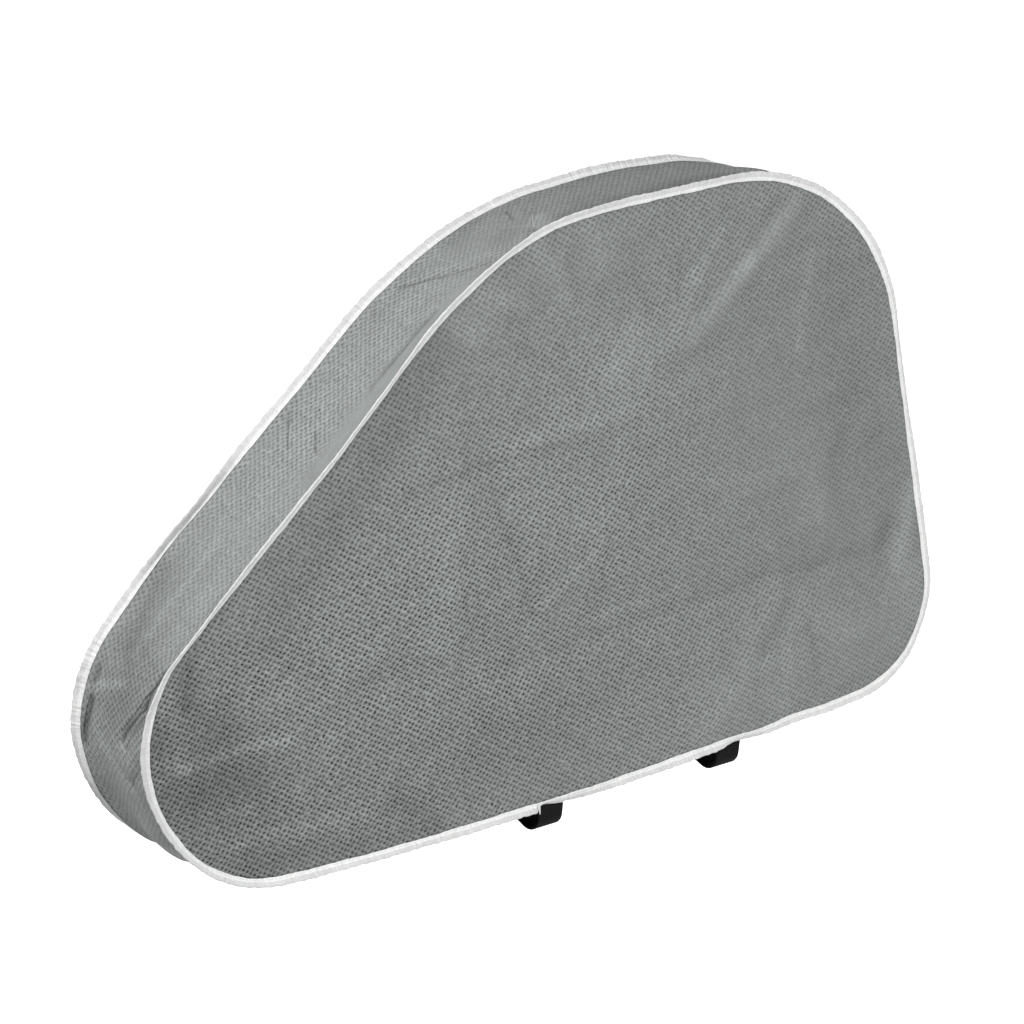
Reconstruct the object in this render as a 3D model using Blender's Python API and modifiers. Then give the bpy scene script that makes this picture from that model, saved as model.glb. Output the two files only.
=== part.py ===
"""Caravan drawbar cover: two shaped side panels, a gusset, taped seams and two webbing straps.

The side panels stand in the X-Z plane. +X points to the caravan and -X to the coupling, +Z is up,
and Y runs through the cover from its near side at -Y to its far side at +Y. The cover is hollow
and open underneath. The world origin is where the drawbar's gear holds it up: the underside of
the gusset along its level top.

An outline is drawn in a pattern maker's sizes: `along` from the nose and `up` from the hem.
Places on a seam are given `round` it, in metres from the nose, under the cover to the heel, up
the caravan end, and back over the top to the nose.
"""
import math
from collections import namedtuple

import bmesh
import bpy

# Driving dimensions, in metres.
DEPTH = 0.108  # between the two seams
CLOTH = 0.002  # thickness of the cloth
TAPE = 0.0024  # thickness of the folded tape with the raw edges in it
TAPE_HEIGHT = 0.0088  # width of the folded tape
WEBBING = 0.0016  # thickness of the straps
WEBBING_WIDTH = 0.030
GAP = 0.0003  # between two pieces
EDGE = CLOTH / 2 + GAP  # from the seam's corner to the edge of each cloth that meets there
FOOT_OUT = 0.0012  # from the corner to the foot of the tape, outwards in the panel's plane
FOOT_AWAY = 0.0008  # and away from the cover's middle
GUSSET_SAG = 0.0025  # the gusset lies this much lower than the seams that it hangs between
GUSSET_EDGE = 0.010  # and climbs to them over this width
MOUNT_ALONG = 0.620  # from the nose to the place that the cover hangs on

# The seams' outline: corners of straight lines, each rounded to a radius.
Corner = namedtuple("Corner", "name along up radius")
OUTLINE = (
    Corner("nose low", 0.002, 0.018, 0.158),
    Corner("hem middle", 0.484, -0.001, 4.0),
    Corner("heel low", 1.020, 0.012, 0.100),
    Corner("heel high", 0.908, 0.604, 0.235),
    Corner("shoulder high", 0.472, 0.604, 0.268),
    Corner("shoulder low", 0.355, 0.537, 0.620),
    Corner("nose high", 0.000, 0.230, 0.132),
)

# How far the seams wander from the outline, outwards in the panel's plane and backwards in depth.
Wander = namedtuple("Wander", "round out back")
NEAR_WANDER = (
    Wander(0.00, 0.0, 0.0),
    Wander(0.09, -0.0035, 0.0),
    Wander(0.36, 0.002, 0.0),
    Wander(0.545, -0.0002, 0.0),
    Wander(0.60, 0.0005, 0.0),
    Wander(0.80, 0.0003, 0.0),
    Wander(0.86, 0.002, 0.0),
    Wander(0.91, -0.0008, 0.0),
    Wander(0.95, 0.0008, 0.0),
    Wander(1.00, -0.0015, 0.0),
    Wander(1.08, 0.002, 0.0),
    Wander(1.50, -0.0015, 0.0),
    Wander(1.96, -0.0025, 0.0),
    Wander(2.18, 0.001, 0.0),
    Wander(2.34, -0.002, 0.0),
    Wander(2.60, 0.0015, 0.0),
)
FAR_WANDER = (
    Wander(0.00, 0.0025, 0.003),
    Wander(0.045, 0.0005, 0.003),
    Wander(0.09, -0.001, 0.003),
    Wander(0.125, 0.0, 0.002),
    Wander(0.165, 0.0028, 0.0015),
    Wander(0.21, 0.004, 0.0005),
    Wander(0.27, 0.003, 0.0),
    Wander(0.40, 0.0, 0.0),
    Wander(1.64, -0.001, 0.0),
    Wander(1.73, -0.005, 0.001),
    Wander(1.77, -0.004, 0.001),
    Wander(1.84, -0.001, 0.0015),
    Wander(2.01, -0.005, -0.0076),
    Wander(2.22, -0.0005, 0.0),
    Wander(2.40, 0.002, 0.003),
    Wander(2.48, 0.004, 0.0045),
    Wander(2.57, 0.0015, 0.0015),
)

# How far the tape leans out of its panel's plane, away from the cover. 45 degrees halves the corner.
Lean = namedtuple("Lean", "round degrees")
NEAR_LEAN = (
    Lean(0.00, 7.0),
    Lean(0.03, 15.0),
    Lean(0.07, 25.0),
    Lean(0.12, 34.0),
    Lean(0.30, 42.0),
    Lean(0.50, 40.0),
    Lean(0.54, 34.0),
    Lean(0.565, -52.0),
    Lean(0.67, 28.0),
    Lean(0.76, 28.0),
    Lean(0.825, -30.0),
    Lean(0.90, 28.0),
    Lean(1.00, 38.0),
    Lean(1.06, 16.0),
    Lean(1.10, -4.0),
    Lean(1.22, 0.0),
    Lean(1.30, -4.0),
    Lean(1.36, -12.0),
    Lean(1.44, -18.0),
    Lean(1.50, -8.0),
    Lean(1.56, 14.0),
    Lean(1.62, 20.0),
    Lean(1.68, 26.0),
    Lean(1.76, 20.0),
    Lean(1.84, 18.0),
    Lean(1.96, 22.0),
    Lean(2.02, 19.0),
    Lean(2.08, 31.0),
    Lean(2.16, 27.0),
    Lean(2.22, 38.0),
    Lean(2.32, 41.0),
    Lean(2.38, 37.0),
    Lean(2.44, 31.0),
    Lean(2.50, 35.0),
    Lean(2.56, 50.0),
    Lean(2.60, 30.0),
    Lean(2.64, 14.0),
)
FAR_LEAN = (
    Lean(0.00, 50.0),
    Lean(0.045, 66.0),
    Lean(0.09, 72.0),
    Lean(0.125, 92.0),
    Lean(0.20, 122.0),
    Lean(0.32, 70.0),
    Lean(0.50, 40.0),
    Lean(0.60, 5.0),
    Lean(0.70, 40.0),
    Lean(0.83, 5.0),
    Lean(0.95, 40.0),
    Lean(1.50, 45.0),
    Lean(1.60, 100.0),
    Lean(1.68, 104.0),
    Lean(1.73, 72.0),
    Lean(1.78, 48.0),
    Lean(1.88, 46.0),
    Lean(2.12, 52.0),
    Lean(2.20, 44.0),
    Lean(2.34, 54.0),
    Lean(2.42, 5.0),
    Lean(2.47, 5.0),
    Lean(2.54, 46.0),
    Lean(2.60, 52.0),
)

# Soft folds of the panels: a line from one end to the other, its half width and how far it rises
# out of the cover, or sinks into it where that is negative.
Fold = namedtuple("Fold", "name along up to_along to_up width rise")
NEAR_FOLDS = (
    Fold("crease from the heel corner", 0.81, 0.57, 0.66, 0.46, 0.022, 0.0045),
    Fold("swelling under the crease", 0.58, 0.45, 0.46, 0.41, 0.040, 0.0035),
    Fold("trough over the hem", 0.93, 0.17, 0.42, 0.19, 0.045, -0.0050),
    Fold("flare of the heel", 0.92, 0.09, 0.70, 0.03, 0.050, 0.0045),
    Fold("slack behind the nose", 0.08, 0.24, 0.12, 0.08, 0.045, -0.0045),
    Fold("slack at the middle", 0.41, 0.38, 0.46, 0.21, 0.030, -0.0025),
    Fold("belly of the cloth", 0.30, 0.28, 0.62, 0.33, 0.110, 0.0040),
)
FAR_FOLDS = (
    Fold("trough over the hem", 0.90, 0.14, 0.40, 0.16, 0.060, -0.0045),
    Fold("crease from the heel corner", 0.82, 0.55, 0.62, 0.42, 0.030, 0.0040),
    Fold("belly of the cloth", 0.28, 0.26, 0.66, 0.34, 0.120, 0.0045),
)
FOLD_FADE = 0.070  # the folds die out over this width along the seams

# The gusset's soft folds cross it. They are placed round the seam, with a lean to the far side.
Tuck = namedtuple("Tuck", "name round lean width rise")
TUCKS = (
    Tuck("heel corner", 1.10, 0.02, 0.016, -0.0025),
    Tuck("caravan end", 1.30, -0.03, 0.022, 0.0025),
    Tuck("top corner", 1.62, 0.03, 0.020, -0.0025),
    Tuck("shoulder", 2.02, -0.03, 0.018, 0.0020),
    Tuck("below the shoulder", 2.13, -0.05, 0.012, -0.0025),
    Tuck("diagonal", 2.36, 0.04, 0.030, -0.0015),
    Tuck("nose", 2.64, 0.06, 0.014, -0.0035),
)

# The straps' way across: corners of straight lines, from the near panel to the far one.
# `inward` is measured from the near seam, and `up` from the hem.
Bend = namedtuple("Bend", "inward up radius")
SEWN = 0.034  # the straps run this far up inside the panels
AT_PANEL = CLOTH / 2 + 2 * GAP + WEBBING / 2  # where they lie against them
AT_HEM = 0.0088  # where they clear the tape, which rolls inwards over them
STRAP_ROUTE = (
    Bend(AT_PANEL, SEWN, 0.0),
    Bend(AT_PANEL, 0.013, 0.012),
    Bend(AT_HEM, -0.008, 0.012),
    Bend(0.0135, 0.0, 0.018),
    Bend(DEPTH - AT_HEM, -0.016, 0.016),
    Bend(DEPTH - AT_PANEL, 0.016, 0.010),
    Bend(DEPTH - AT_PANEL, SEWN, 0.0),
)
LOWEST = 3  # the bend that lies as far below the hem as its strap hangs down
Strap = namedtuple("Strap", "node along drop")
STRAPS = (
    Strap("strap_nose", 0.491, 0.047),
    Strap("strap_heel", 0.732, 0.043),
)

# How finely the pieces are divided.
PANEL_COLUMNS = 31
PANEL_ROWS = 19
STATIONS = 2 * (PANEL_COLUMNS + PANEL_ROWS)  # along the whole seam
FIRST_STATION = 0.13  # the panel grid's lower left corner, round the seam
GUSSET_STATIONS = 72
SMOOTHINGS = 120  # even out a panel's grid
STRAP_STATIONS = 32
SAMPLE = 0.010  # along the seam, where the distance to it is measured

Run = namedtuple("Run", "along up heading length turn")


def rounded(corners, closed):
    """Return the straight runs and the round bends through corners of (along, up, radius)."""
    runs = []
    count = len(corners)
    bends = []
    for i, (along, up, radius) in enumerate(corners):
        if not closed and i in (0, count - 1):
            bends.append((along, up, 0.0, 0.0, 0.0, 0.0))
            continue
        before, after = corners[i - 1], corners[(i + 1) % count]
        heading = math.atan2(up - before[1], along - before[0])
        leaving = math.atan2(after[1] - up, after[0] - along)
        turn = (leaving - heading + math.pi) % math.tau - math.pi
        bends.append((along, up, heading, turn, radius, radius * math.tan(abs(turn) / 2)))
    for i in range(count if closed else count - 1):
        along, up, heading, turn, radius, reach = bends[i]
        if radius:
            start = (along - reach * math.cos(heading), up - reach * math.sin(heading))
            runs.append(Run(*start, heading, radius * abs(turn), math.copysign(1 / radius, turn)))
        end = bends[(i + 1) % count]
        leaving = math.atan2(end[1] - up, end[0] - along)
        length = math.hypot(end[0] - along, end[1] - up) - reach - end[5]
        start = (along + reach * math.cos(leaving), up + reach * math.sin(leaving))
        runs.append(Run(*start, leaving, length, 0.0))
    return runs


def walk(runs, distance):
    """Return the place and the heading at a distance along the runs."""
    for run in runs:
        if distance <= run.length or run is runs[-1]:
            break
        distance -= run.length
    heading = run.heading + distance * run.turn
    if run.turn:
        along = run.along + (math.sin(heading) - math.sin(run.heading)) / run.turn
        up = run.up - (math.cos(heading) - math.cos(run.heading)) / run.turn
    else:
        along = run.along + distance * math.cos(heading)
        up = run.up + distance * math.sin(heading)
    return along, up, heading


OUTLINE_RUNS = rounded([corner[1:] for corner in OUTLINE], closed=True)
SEAM_LENGTH = sum(run.length for run in OUTLINE_RUNS)
TOP = OUTLINE[3].up - GUSSET_SAG - CLOTH / 2  # height of the world origin over the hem


def bend_start(name):
    """Return how far round the seam the bend at one of the outline's corners begins."""
    index = [corner.name for corner in OUTLINE].index(name)
    return sum(run.length for run in OUTLINE_RUNS[:2 * index])


def between(table, distance):
    """Return the values of a table's rows at a distance round the seam, eased from row to row."""
    distance %= SEAM_LENGTH
    rows = [*table, table[0]._replace(round=table[0].round + SEAM_LENGTH)]
    for row, after in zip(rows, rows[1:]):
        if row.round <= distance <= after.round:
            break
    part = (distance - row.round) / (after.round - row.round)
    ease = part * part * (3 - 2 * part)
    return [a + (b - a) * ease for a, b in zip(row[1:], after[1:])]


class Seam:
    """One seam of the cover: its place, its way out of the panel's plane and its tape's lean."""

    def __init__(self, side, wander, lean):
        """Keep the side, -1 for near or 1 for far, and the seam's tables."""
        self.side = side
        self.wander = wander
        self.lean = lean

    def at(self, distance):
        """Return (along, up) on the seam, its outward direction there, and its Y."""
        along, up, heading = walk(OUTLINE_RUNS, distance % SEAM_LENGTH)
        outward = (math.sin(heading), -math.cos(heading))
        out, back = between(self.wander, distance)
        place = (along + out * outward[0], up + out * outward[1])
        return place, outward, self.side * DEPTH / 2 + back

    def beside(self, distance, out, away):
        """Return the world point `out` of the outline and `away` from the cover's middle."""
        (along, up), outward, y = self.at(distance)
        return world(along + out * outward[0], y + self.side * away, up + out * outward[1])


def world(along, y, up):
    """Return a world point from a place in the pattern maker's sizes."""
    return along - MOUNT_ALONG, y, up - TOP


NEAR = Seam(-1, NEAR_WANDER, NEAR_LEAN)
FAR = Seam(1, FAR_WANDER, FAR_LEAN)


def sheet(name, columns, rows, place, closed=False):
    """Return an open grid whose vertices go to place(column, row), as a new bmesh."""
    mesh = bmesh.new()
    bmesh.ops.create_grid(mesh, x_segments=columns, y_segments=rows, size=1.0)
    for vertex in mesh.verts:
        column = round((vertex.co.x + 1) / 2 * columns)
        row = round((vertex.co.y + 1) / 2 * rows)
        vertex.co = place(column, row)
    if closed:
        bmesh.ops.remove_doubles(mesh, verts=mesh.verts, dist=1e-6)
    mesh.normal_update()
    return mesh


def piece(name, mesh, thickness, material):
    """Make an object of a sheet's bmesh, with its thickness given by Solidify."""
    data = bpy.data.meshes.new(name)
    mesh.to_mesh(data)
    mesh.free()
    data.shade_smooth()
    data.materials.append(material)
    solid = bpy.data.objects.new(name, data)
    PARTS.objects.link(solid)
    shell = solid.modifiers.new("thickness", "SOLIDIFY")
    shell.thickness = thickness
    shell.offset = 0.0
    return solid


def station_round(station):
    """Return how far round the seam a station is."""
    return FIRST_STATION + station % STATIONS * SEAM_LENGTH / STATIONS


def border(column, row):
    """Return a border vertex's station: anticlockwise from the grid's lower left corner."""
    if row == 0:
        return column
    if column == PANEL_COLUMNS:
        return PANEL_COLUMNS + row
    if row == PANEL_ROWS:
        return 2 * PANEL_COLUMNS + PANEL_ROWS - column
    return (STATIONS - row) % STATIONS


def outwards(column, row):
    """Return the border station that a ray from the grid's middle meets, and how far out it is."""
    u, v = 2 * column / PANEL_COLUMNS - 1, 2 * row / PANEL_ROWS - 1
    ring = max(abs(u), abs(v))
    edge_column = round((u / ring + 1) / 2 * PANEL_COLUMNS)
    edge_row = round((v / ring + 1) / 2 * PANEL_ROWS)
    return border(edge_column, edge_row), ring


def fold_height(folds, along, up):
    """Return how far all the folds together rise at one place of a panel."""
    height = 0.0
    for fold in folds:
        run, climb = fold.to_along - fold.along, fold.to_up - fold.up
        part = ((along - fold.along) * run + (up - fold.up) * climb) / (run * run + climb * climb)
        part = min(max(part, 0.0), 1.0)
        miss = math.hypot(along - fold.along - part * run, up - fold.up - part * climb)
        height += fold.rise * math.exp(-((miss / fold.width) ** 2))
    return height


def side_panel(name, seam, folds, material):
    """Make one side panel: a grid drawn out to the seam, evened out and raised by its folds."""
    edge = [seam.beside(station_round(i), -EDGE, 0.0) for i in range(STATIONS)]
    middle = [sum(axis) / STATIONS for axis in zip(*edge)]

    def place(column, row):
        station, ring = outwards(column, row)
        return [m + (e - m) * ring for m, e in zip(middle, edge[station])]

    mesh = sheet(name, PANEL_COLUMNS, PANEL_ROWS, place)
    inner = [vertex for vertex in mesh.verts if not vertex.is_boundary]
    for _ in range(SMOOTHINGS):
        bmesh.ops.smooth_vert(mesh, verts=inner, factor=0.5, use_axis_x=True, use_axis_y=True,
                              use_axis_z=True)
    samples = [seam.beside(i * SAMPLE, -EDGE, 0.0) for i in range(int(SEAM_LENGTH / SAMPLE))]
    for vertex in inner:
        x, _, z = vertex.co
        miss = min(math.hypot(x - point[0], z - point[2]) for point in samples)
        fade = min(miss / FOLD_FADE, 1.0)
        rise = fold_height(folds, x + MOUNT_ALONG, z + TOP)
        vertex.co.y += seam.side * rise * fade * fade * (3 - 2 * fade)
    return piece(name, mesh, CLOTH, material)


def gusset(name, material):
    """Make the gusset: a strip between the seams, from under the heel, over the top, to the nose."""
    start = bend_start("heel low")
    length = SEAM_LENGTH + OUTLINE_RUNS[0].length - start
    inner = DEPTH / 2 - EDGE
    across = (-inner, -inner + GUSSET_EDGE, -inner / 2, 0.0, inner / 2, inner - GUSSET_EDGE, inner)

    def place(column, row):
        distance = start + length * column / GUSSET_STATIONS
        y = across[row]
        near = NEAR.beside(distance, 0.0, 0.0)
        far = FAR.beside(distance, 0.0, 0.0)
        part = (y + DEPTH / 2) / DEPTH
        _, outward, _ = NEAR.at(distance)
        sunk = GUSSET_SAG if row not in (0, len(across) - 1) else 0.0
        rise = tuck_height(distance, y) * (1 - (y / inner) ** 2) - sunk
        x, y, z = (n + (f - n) * part for n, f in zip(near, far))
        return x + rise * outward[0], y, z + rise * outward[1]

    mesh = sheet(name, GUSSET_STATIONS, len(across) - 1, place)
    return piece(name, mesh, CLOTH, material)


def tuck_height(distance, y):
    """Return how far the gusset's tucks together rise at a distance round the seam and a Y."""
    height = 0.0
    for tuck in TUCKS:
        miss = distance - tuck.round - tuck.lean * y / DEPTH
        height += tuck.rise * math.exp(-((miss / tuck.width) ** 2))
    return height


def binding(name, seam, material):
    """Make a seam's tape: a strip all the way round that stands out of the corner at its lean."""
    def place(column, row):
        distance = station_round(column)
        lean = math.radians(between(seam.lean, distance)[0])
        reach = row * TAPE_HEIGHT
        out = FOOT_OUT + reach * math.cos(lean)
        return seam.beside(distance, out, FOOT_AWAY + reach * math.sin(lean))

    mesh = sheet(name, STATIONS, 1, place, closed=True)
    return piece(name, mesh, TAPE, material)


def strap(name, along, drop, material):
    """Make one strap: webbing from inside the near panel, under the opening, to the far panel."""
    bends = list(STRAP_ROUTE)
    bends[LOWEST] = bends[LOWEST]._replace(up=-drop)
    route = rounded(bends, closed=False)
    length = sum(run.length for run in route)

    def place(column, row):
        inward, up, _ = walk(route, length * column / STRAP_STATIONS)
        return world(along + WEBBING_WIDTH * (row - 0.5), inward - DEPTH / 2, up)

    return piece(name, sheet(name, STRAP_STATIONS, 1, place), WEBBING, material)


def finish(name, colour, roughness):
    """Return a Principled material of one colour."""
    material = bpy.data.materials.new(name)
    material.use_nodes = True
    shader = material.node_tree.nodes["Principled BSDF"]
    shader.inputs["Base Color"].default_value = (*colour, 1.0)
    shader.inputs["Roughness"].default_value = roughness
    shader.inputs["Metallic"].default_value = 0.0
    material.diffuse_color = (*colour, 1.0)
    return material


def clear():
    """Remove whatever the scene holds."""
    for item in list(bpy.data.objects):
        bpy.data.objects.remove(item, do_unlink=True)


clear()
PARTS = bpy.data.collections.new("caravan_drawbar_cover")
bpy.context.scene.collection.children.link(PARTS)

side_panel("side_panel_near", NEAR, NEAR_FOLDS, finish("cloth near", (0.21, 0.22, 0.218), 0.85))
side_panel("side_panel_far", FAR, FAR_FOLDS, finish("cloth far", (0.21, 0.22, 0.218), 0.85))
gusset("gusset", finish("cloth gusset", (0.23, 0.24, 0.238), 0.85))
binding("binding_near", NEAR, finish("tape near", (0.70, 0.70, 0.69), 0.80))
binding("binding_far", FAR, finish("tape far", (0.70, 0.70, 0.69), 0.80))
for item in STRAPS:
    strap(item.node, item.along, item.drop, finish(item.node, (0.012, 0.012, 0.013), 0.75))
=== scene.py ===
"""Caravan drawbar cover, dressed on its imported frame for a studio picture.

Two shaped side panels and a gusset of embossed non-woven cloth stand in the X-Z plane, with +X to
the caravan and +Z up. White tape is folded over both seams, and two webbing straps cross the open
underside. A place on a panel is given in a pattern maker's sizes, `along` from the nose and `up`
from the hem, and a place on a seam by how far `round` the seam it is: from the nose, under the
cover to the heel, up the caravan end and back over the top. All sizes are in metres.
"""

import logging
import math
from dataclasses import dataclass, field
from enum import Enum

import bpy
import numpy as np
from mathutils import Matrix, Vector, noise


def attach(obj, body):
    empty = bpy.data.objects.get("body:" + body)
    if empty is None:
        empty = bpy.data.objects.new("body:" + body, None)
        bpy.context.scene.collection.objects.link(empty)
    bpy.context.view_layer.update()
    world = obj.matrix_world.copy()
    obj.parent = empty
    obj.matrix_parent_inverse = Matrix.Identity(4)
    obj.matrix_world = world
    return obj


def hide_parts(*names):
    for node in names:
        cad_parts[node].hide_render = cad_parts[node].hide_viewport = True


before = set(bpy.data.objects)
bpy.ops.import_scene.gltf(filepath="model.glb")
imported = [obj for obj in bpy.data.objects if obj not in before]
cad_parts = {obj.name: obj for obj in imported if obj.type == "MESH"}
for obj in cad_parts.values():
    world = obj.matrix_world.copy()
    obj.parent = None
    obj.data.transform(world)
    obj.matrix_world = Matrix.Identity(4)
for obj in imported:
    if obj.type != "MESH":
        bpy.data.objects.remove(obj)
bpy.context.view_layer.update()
LOG = logging.getLogger("drawbar_cover")

DEPTH = 0.108  # between the two seams
CLOTH = 0.002  # thickness of the cloth
GAP = 0.0003  # between two pieces
EDGE = CLOTH / 2 + GAP  # from the seam's corner to the edge of the gusset
LIP_OUT = 0.0008  # a panel's edge turns out to the tape this far past the corner
LIP_AWAY = 0.0003  # and away from the cover
MOUNT_ALONG = 0.620  # from the nose to the world origin
PATTERN = "pattern"  # the UV map: places on the flat cloth, in metres
EMBOSS = "emboss"  # how deeply the cloth's dots are pressed
TONE = "tone"  # lightening and darkening of the cloth or tape: painted light and shade, whitened creases and random mottling
PUCKER = "pucker"  # how far the stitches gather the tape


class Side(Enum):
    """The side of the cover that a seam or a panel is on."""

    NEAR = -1
    FAR = 1


class Form(Enum):
    """How a stroke runs across its width."""

    RIDGE = "a rounded ridge, or a trough where its amount is negative"
    STEP = "a ridge on its left and a trough on its right"


# ---------------------------------------------------------------- outlines and seams


@dataclass(frozen=True)
class Corner:
    """A corner of straight lines, rounded to a radius."""

    name: str
    along: float
    up: float
    radius: float


@dataclass(frozen=True)
class Run:
    """A straight line, or an arc whose turn is one over its radius."""

    along: float
    up: float
    heading: float
    length: float
    turn: float


class Route:
    """The straight runs and round bends through some corners."""

    def __init__(self, corners: tuple[Corner, ...], closed: bool) -> None:
        """Work out the runs.

        Args:
            corners: the corners in order, anticlockwise where the route is closed.
            closed: whether the last corner leads back to the first.
        """
        self.corners = corners
        self.runs: list[Run] = []
        count = len(corners)
        bends = [self._bend(i, closed) for i in range(count)]
        for i in range(count if closed else count - 1):
            corner, (heading, turn, reach) = corners[i], bends[i]
            after, (_, _, next_reach) = corners[(i + 1) % count], bends[(i + 1) % count]
            if reach:
                start = self._ahead(corner, heading, -reach)
                curve = math.copysign(1 / corner.radius, turn)
                self.runs.append(Run(*start, heading, corner.radius * abs(turn), curve))
            leaving = math.atan2(after.up - corner.up, after.along - corner.along)
            straight = math.hypot(after.along - corner.along, after.up - corner.up)
            start = self._ahead(corner, leaving, reach)
            self.runs.append(Run(*start, leaving, straight - reach - next_reach, 0.0))
        self.length = sum(run.length for run in self.runs)

    def _bend(self, index: int, closed: bool) -> tuple[float, float, float]:
        """Return a corner's heading on arrival, its turn and how far from it the bend begins."""
        if not closed and index in (0, len(self.corners) - 1):
            return 0.0, 0.0, 0.0
        here = self.corners[index]
        before, after = self.corners[index - 1], self.corners[(index + 1) % len(self.corners)]
        heading = math.atan2(here.up - before.up, here.along - before.along)
        leaving = math.atan2(after.up - here.up, after.along - here.along)
        turn = (leaving - heading + math.pi) % math.tau - math.pi
        return heading, turn, here.radius * math.tan(abs(turn) / 2)

    @staticmethod
    def _ahead(corner: Corner, heading: float, distance: float) -> tuple[float, float]:
        """Return the place at a distance from a corner."""
        return (corner.along + distance * math.cos(heading),
                corner.up + distance * math.sin(heading))

    def bend_start(self, name: str) -> float:
        """Return how far along a closed route a named corner's bend begins."""
        index = [corner.name for corner in self.corners].index(name)
        return sum(run.length for run in self.runs[:2 * index])

    def at(self, distances: np.ndarray) -> tuple[np.ndarray, np.ndarray]:
        """Find places along the route.

        Args:
            distances: how far along the route each place is.

        Returns:
            The places as (n, 2) and their headings as (n,).
        """
        rows = np.array([(r.along, r.up, r.heading, r.length, r.turn) for r in self.runs])
        starts = np.concatenate([[0.0], np.cumsum(rows[:, 3])[:-1]])
        index = np.clip(np.searchsorted(starts, distances, side="right") - 1, 0, len(rows) - 1)
        along, up, first, _, turn = rows[index].T
        rest = distances - starts[index]
        heading = first + rest * turn
        curved = turn != 0.0
        bend = np.where(curved, turn, 1.0)
        along = along + np.where(curved, (np.sin(heading) - np.sin(first)) / bend,
                                 rest * np.cos(heading))
        up = up + np.where(curved, (np.cos(first) - np.cos(heading)) / bend,
                           rest * np.sin(heading))
        return np.stack([along, up], axis=1), heading


OUTLINE = Route((
    Corner("nose low", 0.002, 0.018, 0.158),
    Corner("hem middle", 0.484, -0.001, 4.0),
    Corner("heel low", 1.020, 0.012, 0.100),
    Corner("heel high", 0.908, 0.604, 0.235),
    Corner("shoulder high", 0.472, 0.604, 0.268),
    Corner("shoulder low", 0.355, 0.537, 0.620),
    Corner("nose high", 0.000, 0.230, 0.132),
), closed=True)


@dataclass(frozen=True)
class Wander:
    """How far a seam lies outside the outline and behind its plane."""

    round: float
    out: float
    back: float


@dataclass(frozen=True)
class Lean:
    """How far the tape leans out of its panel's plane, away from the cover."""

    round: float
    degrees: float


@dataclass(frozen=True)
class Lap:
    """How far the tape's edge lies over the gusset."""

    round: float
    reach: float


def table_of(kind: type, values: tuple[tuple, ...]) -> tuple:
    """Return a table's rows, each made from one tuple of its columns in order."""
    return tuple(kind(*row) for row in values)


def eased(table: tuple, rounds: np.ndarray, column: str) -> np.ndarray:
    """Ease from row to row of a table that closes on itself.

    Args:
        table: its rows, each with a `round`, in order from zero.
        rounds: how far round the seam each value is wanted.
        column: the name of the wanted value.

    Returns:
        One value for each of `rounds`.
    """
    marks = np.array([row.round for row in table] + [table[0].round + OUTLINE.length])
    values = np.array([getattr(row, column) for row in table] + [getattr(table[0], column)])
    here = rounds % OUTLINE.length
    index = np.clip(np.searchsorted(marks, here, side="right") - 1, 0, len(table) - 1)
    part = (here - marks[index]) / (marks[index + 1] - marks[index])
    return values[index] + (values[index + 1] - values[index]) * part * part * (3 - 2 * part)


@dataclass(frozen=True)
class Waver:
    """A small uneven swing that closes on itself round a seam."""

    amount: float
    shift: float
    waves: tuple[int, ...] = (11, 29, 67, 131)

    def at(self, rounds: np.ndarray) -> np.ndarray:
        """Return the swing at each place round the seam."""
        swing = np.zeros_like(rounds)
        for order, wave in enumerate(self.waves, start=1):
            swing += np.sin(math.tau * wave * rounds / OUTLINE.length + self.shift * order) / order
        return self.amount * swing


@dataclass(frozen=True)
class Seam:
    """One seam of the cover, with its wandering and its tape's lean and lap."""

    side: Side
    wander: tuple[Wander, ...]
    lean: tuple[Lean, ...]
    lap: tuple[Lap, ...]

    def beside(self, rounds: np.ndarray, out: np.ndarray | float,
               away: np.ndarray | float) -> np.ndarray:
        """Find world points beside the seam.

        Args:
            rounds: how far round the seam each point is, (n,).
            out: how far outside the outline, in the panel's plane.
            away: how far away from the cover's middle.

        Returns:
            The points, as (n, 3).
        """
        places, headings = OUTLINE.at(rounds % OUTLINE.length)
        out = out + eased(self.wander, rounds, "out")
        back = eased(self.wander, rounds, "back")
        x = places[:, 0] + out * np.sin(headings) - MOUNT_ALONG
        z = places[:, 1] - out * np.cos(headings) - Gusset.hang()
        y = self.side.value * (DEPTH / 2 + away) + back
        return np.stack([x, np.broadcast_to(y, x.shape), z], axis=1)


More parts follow.
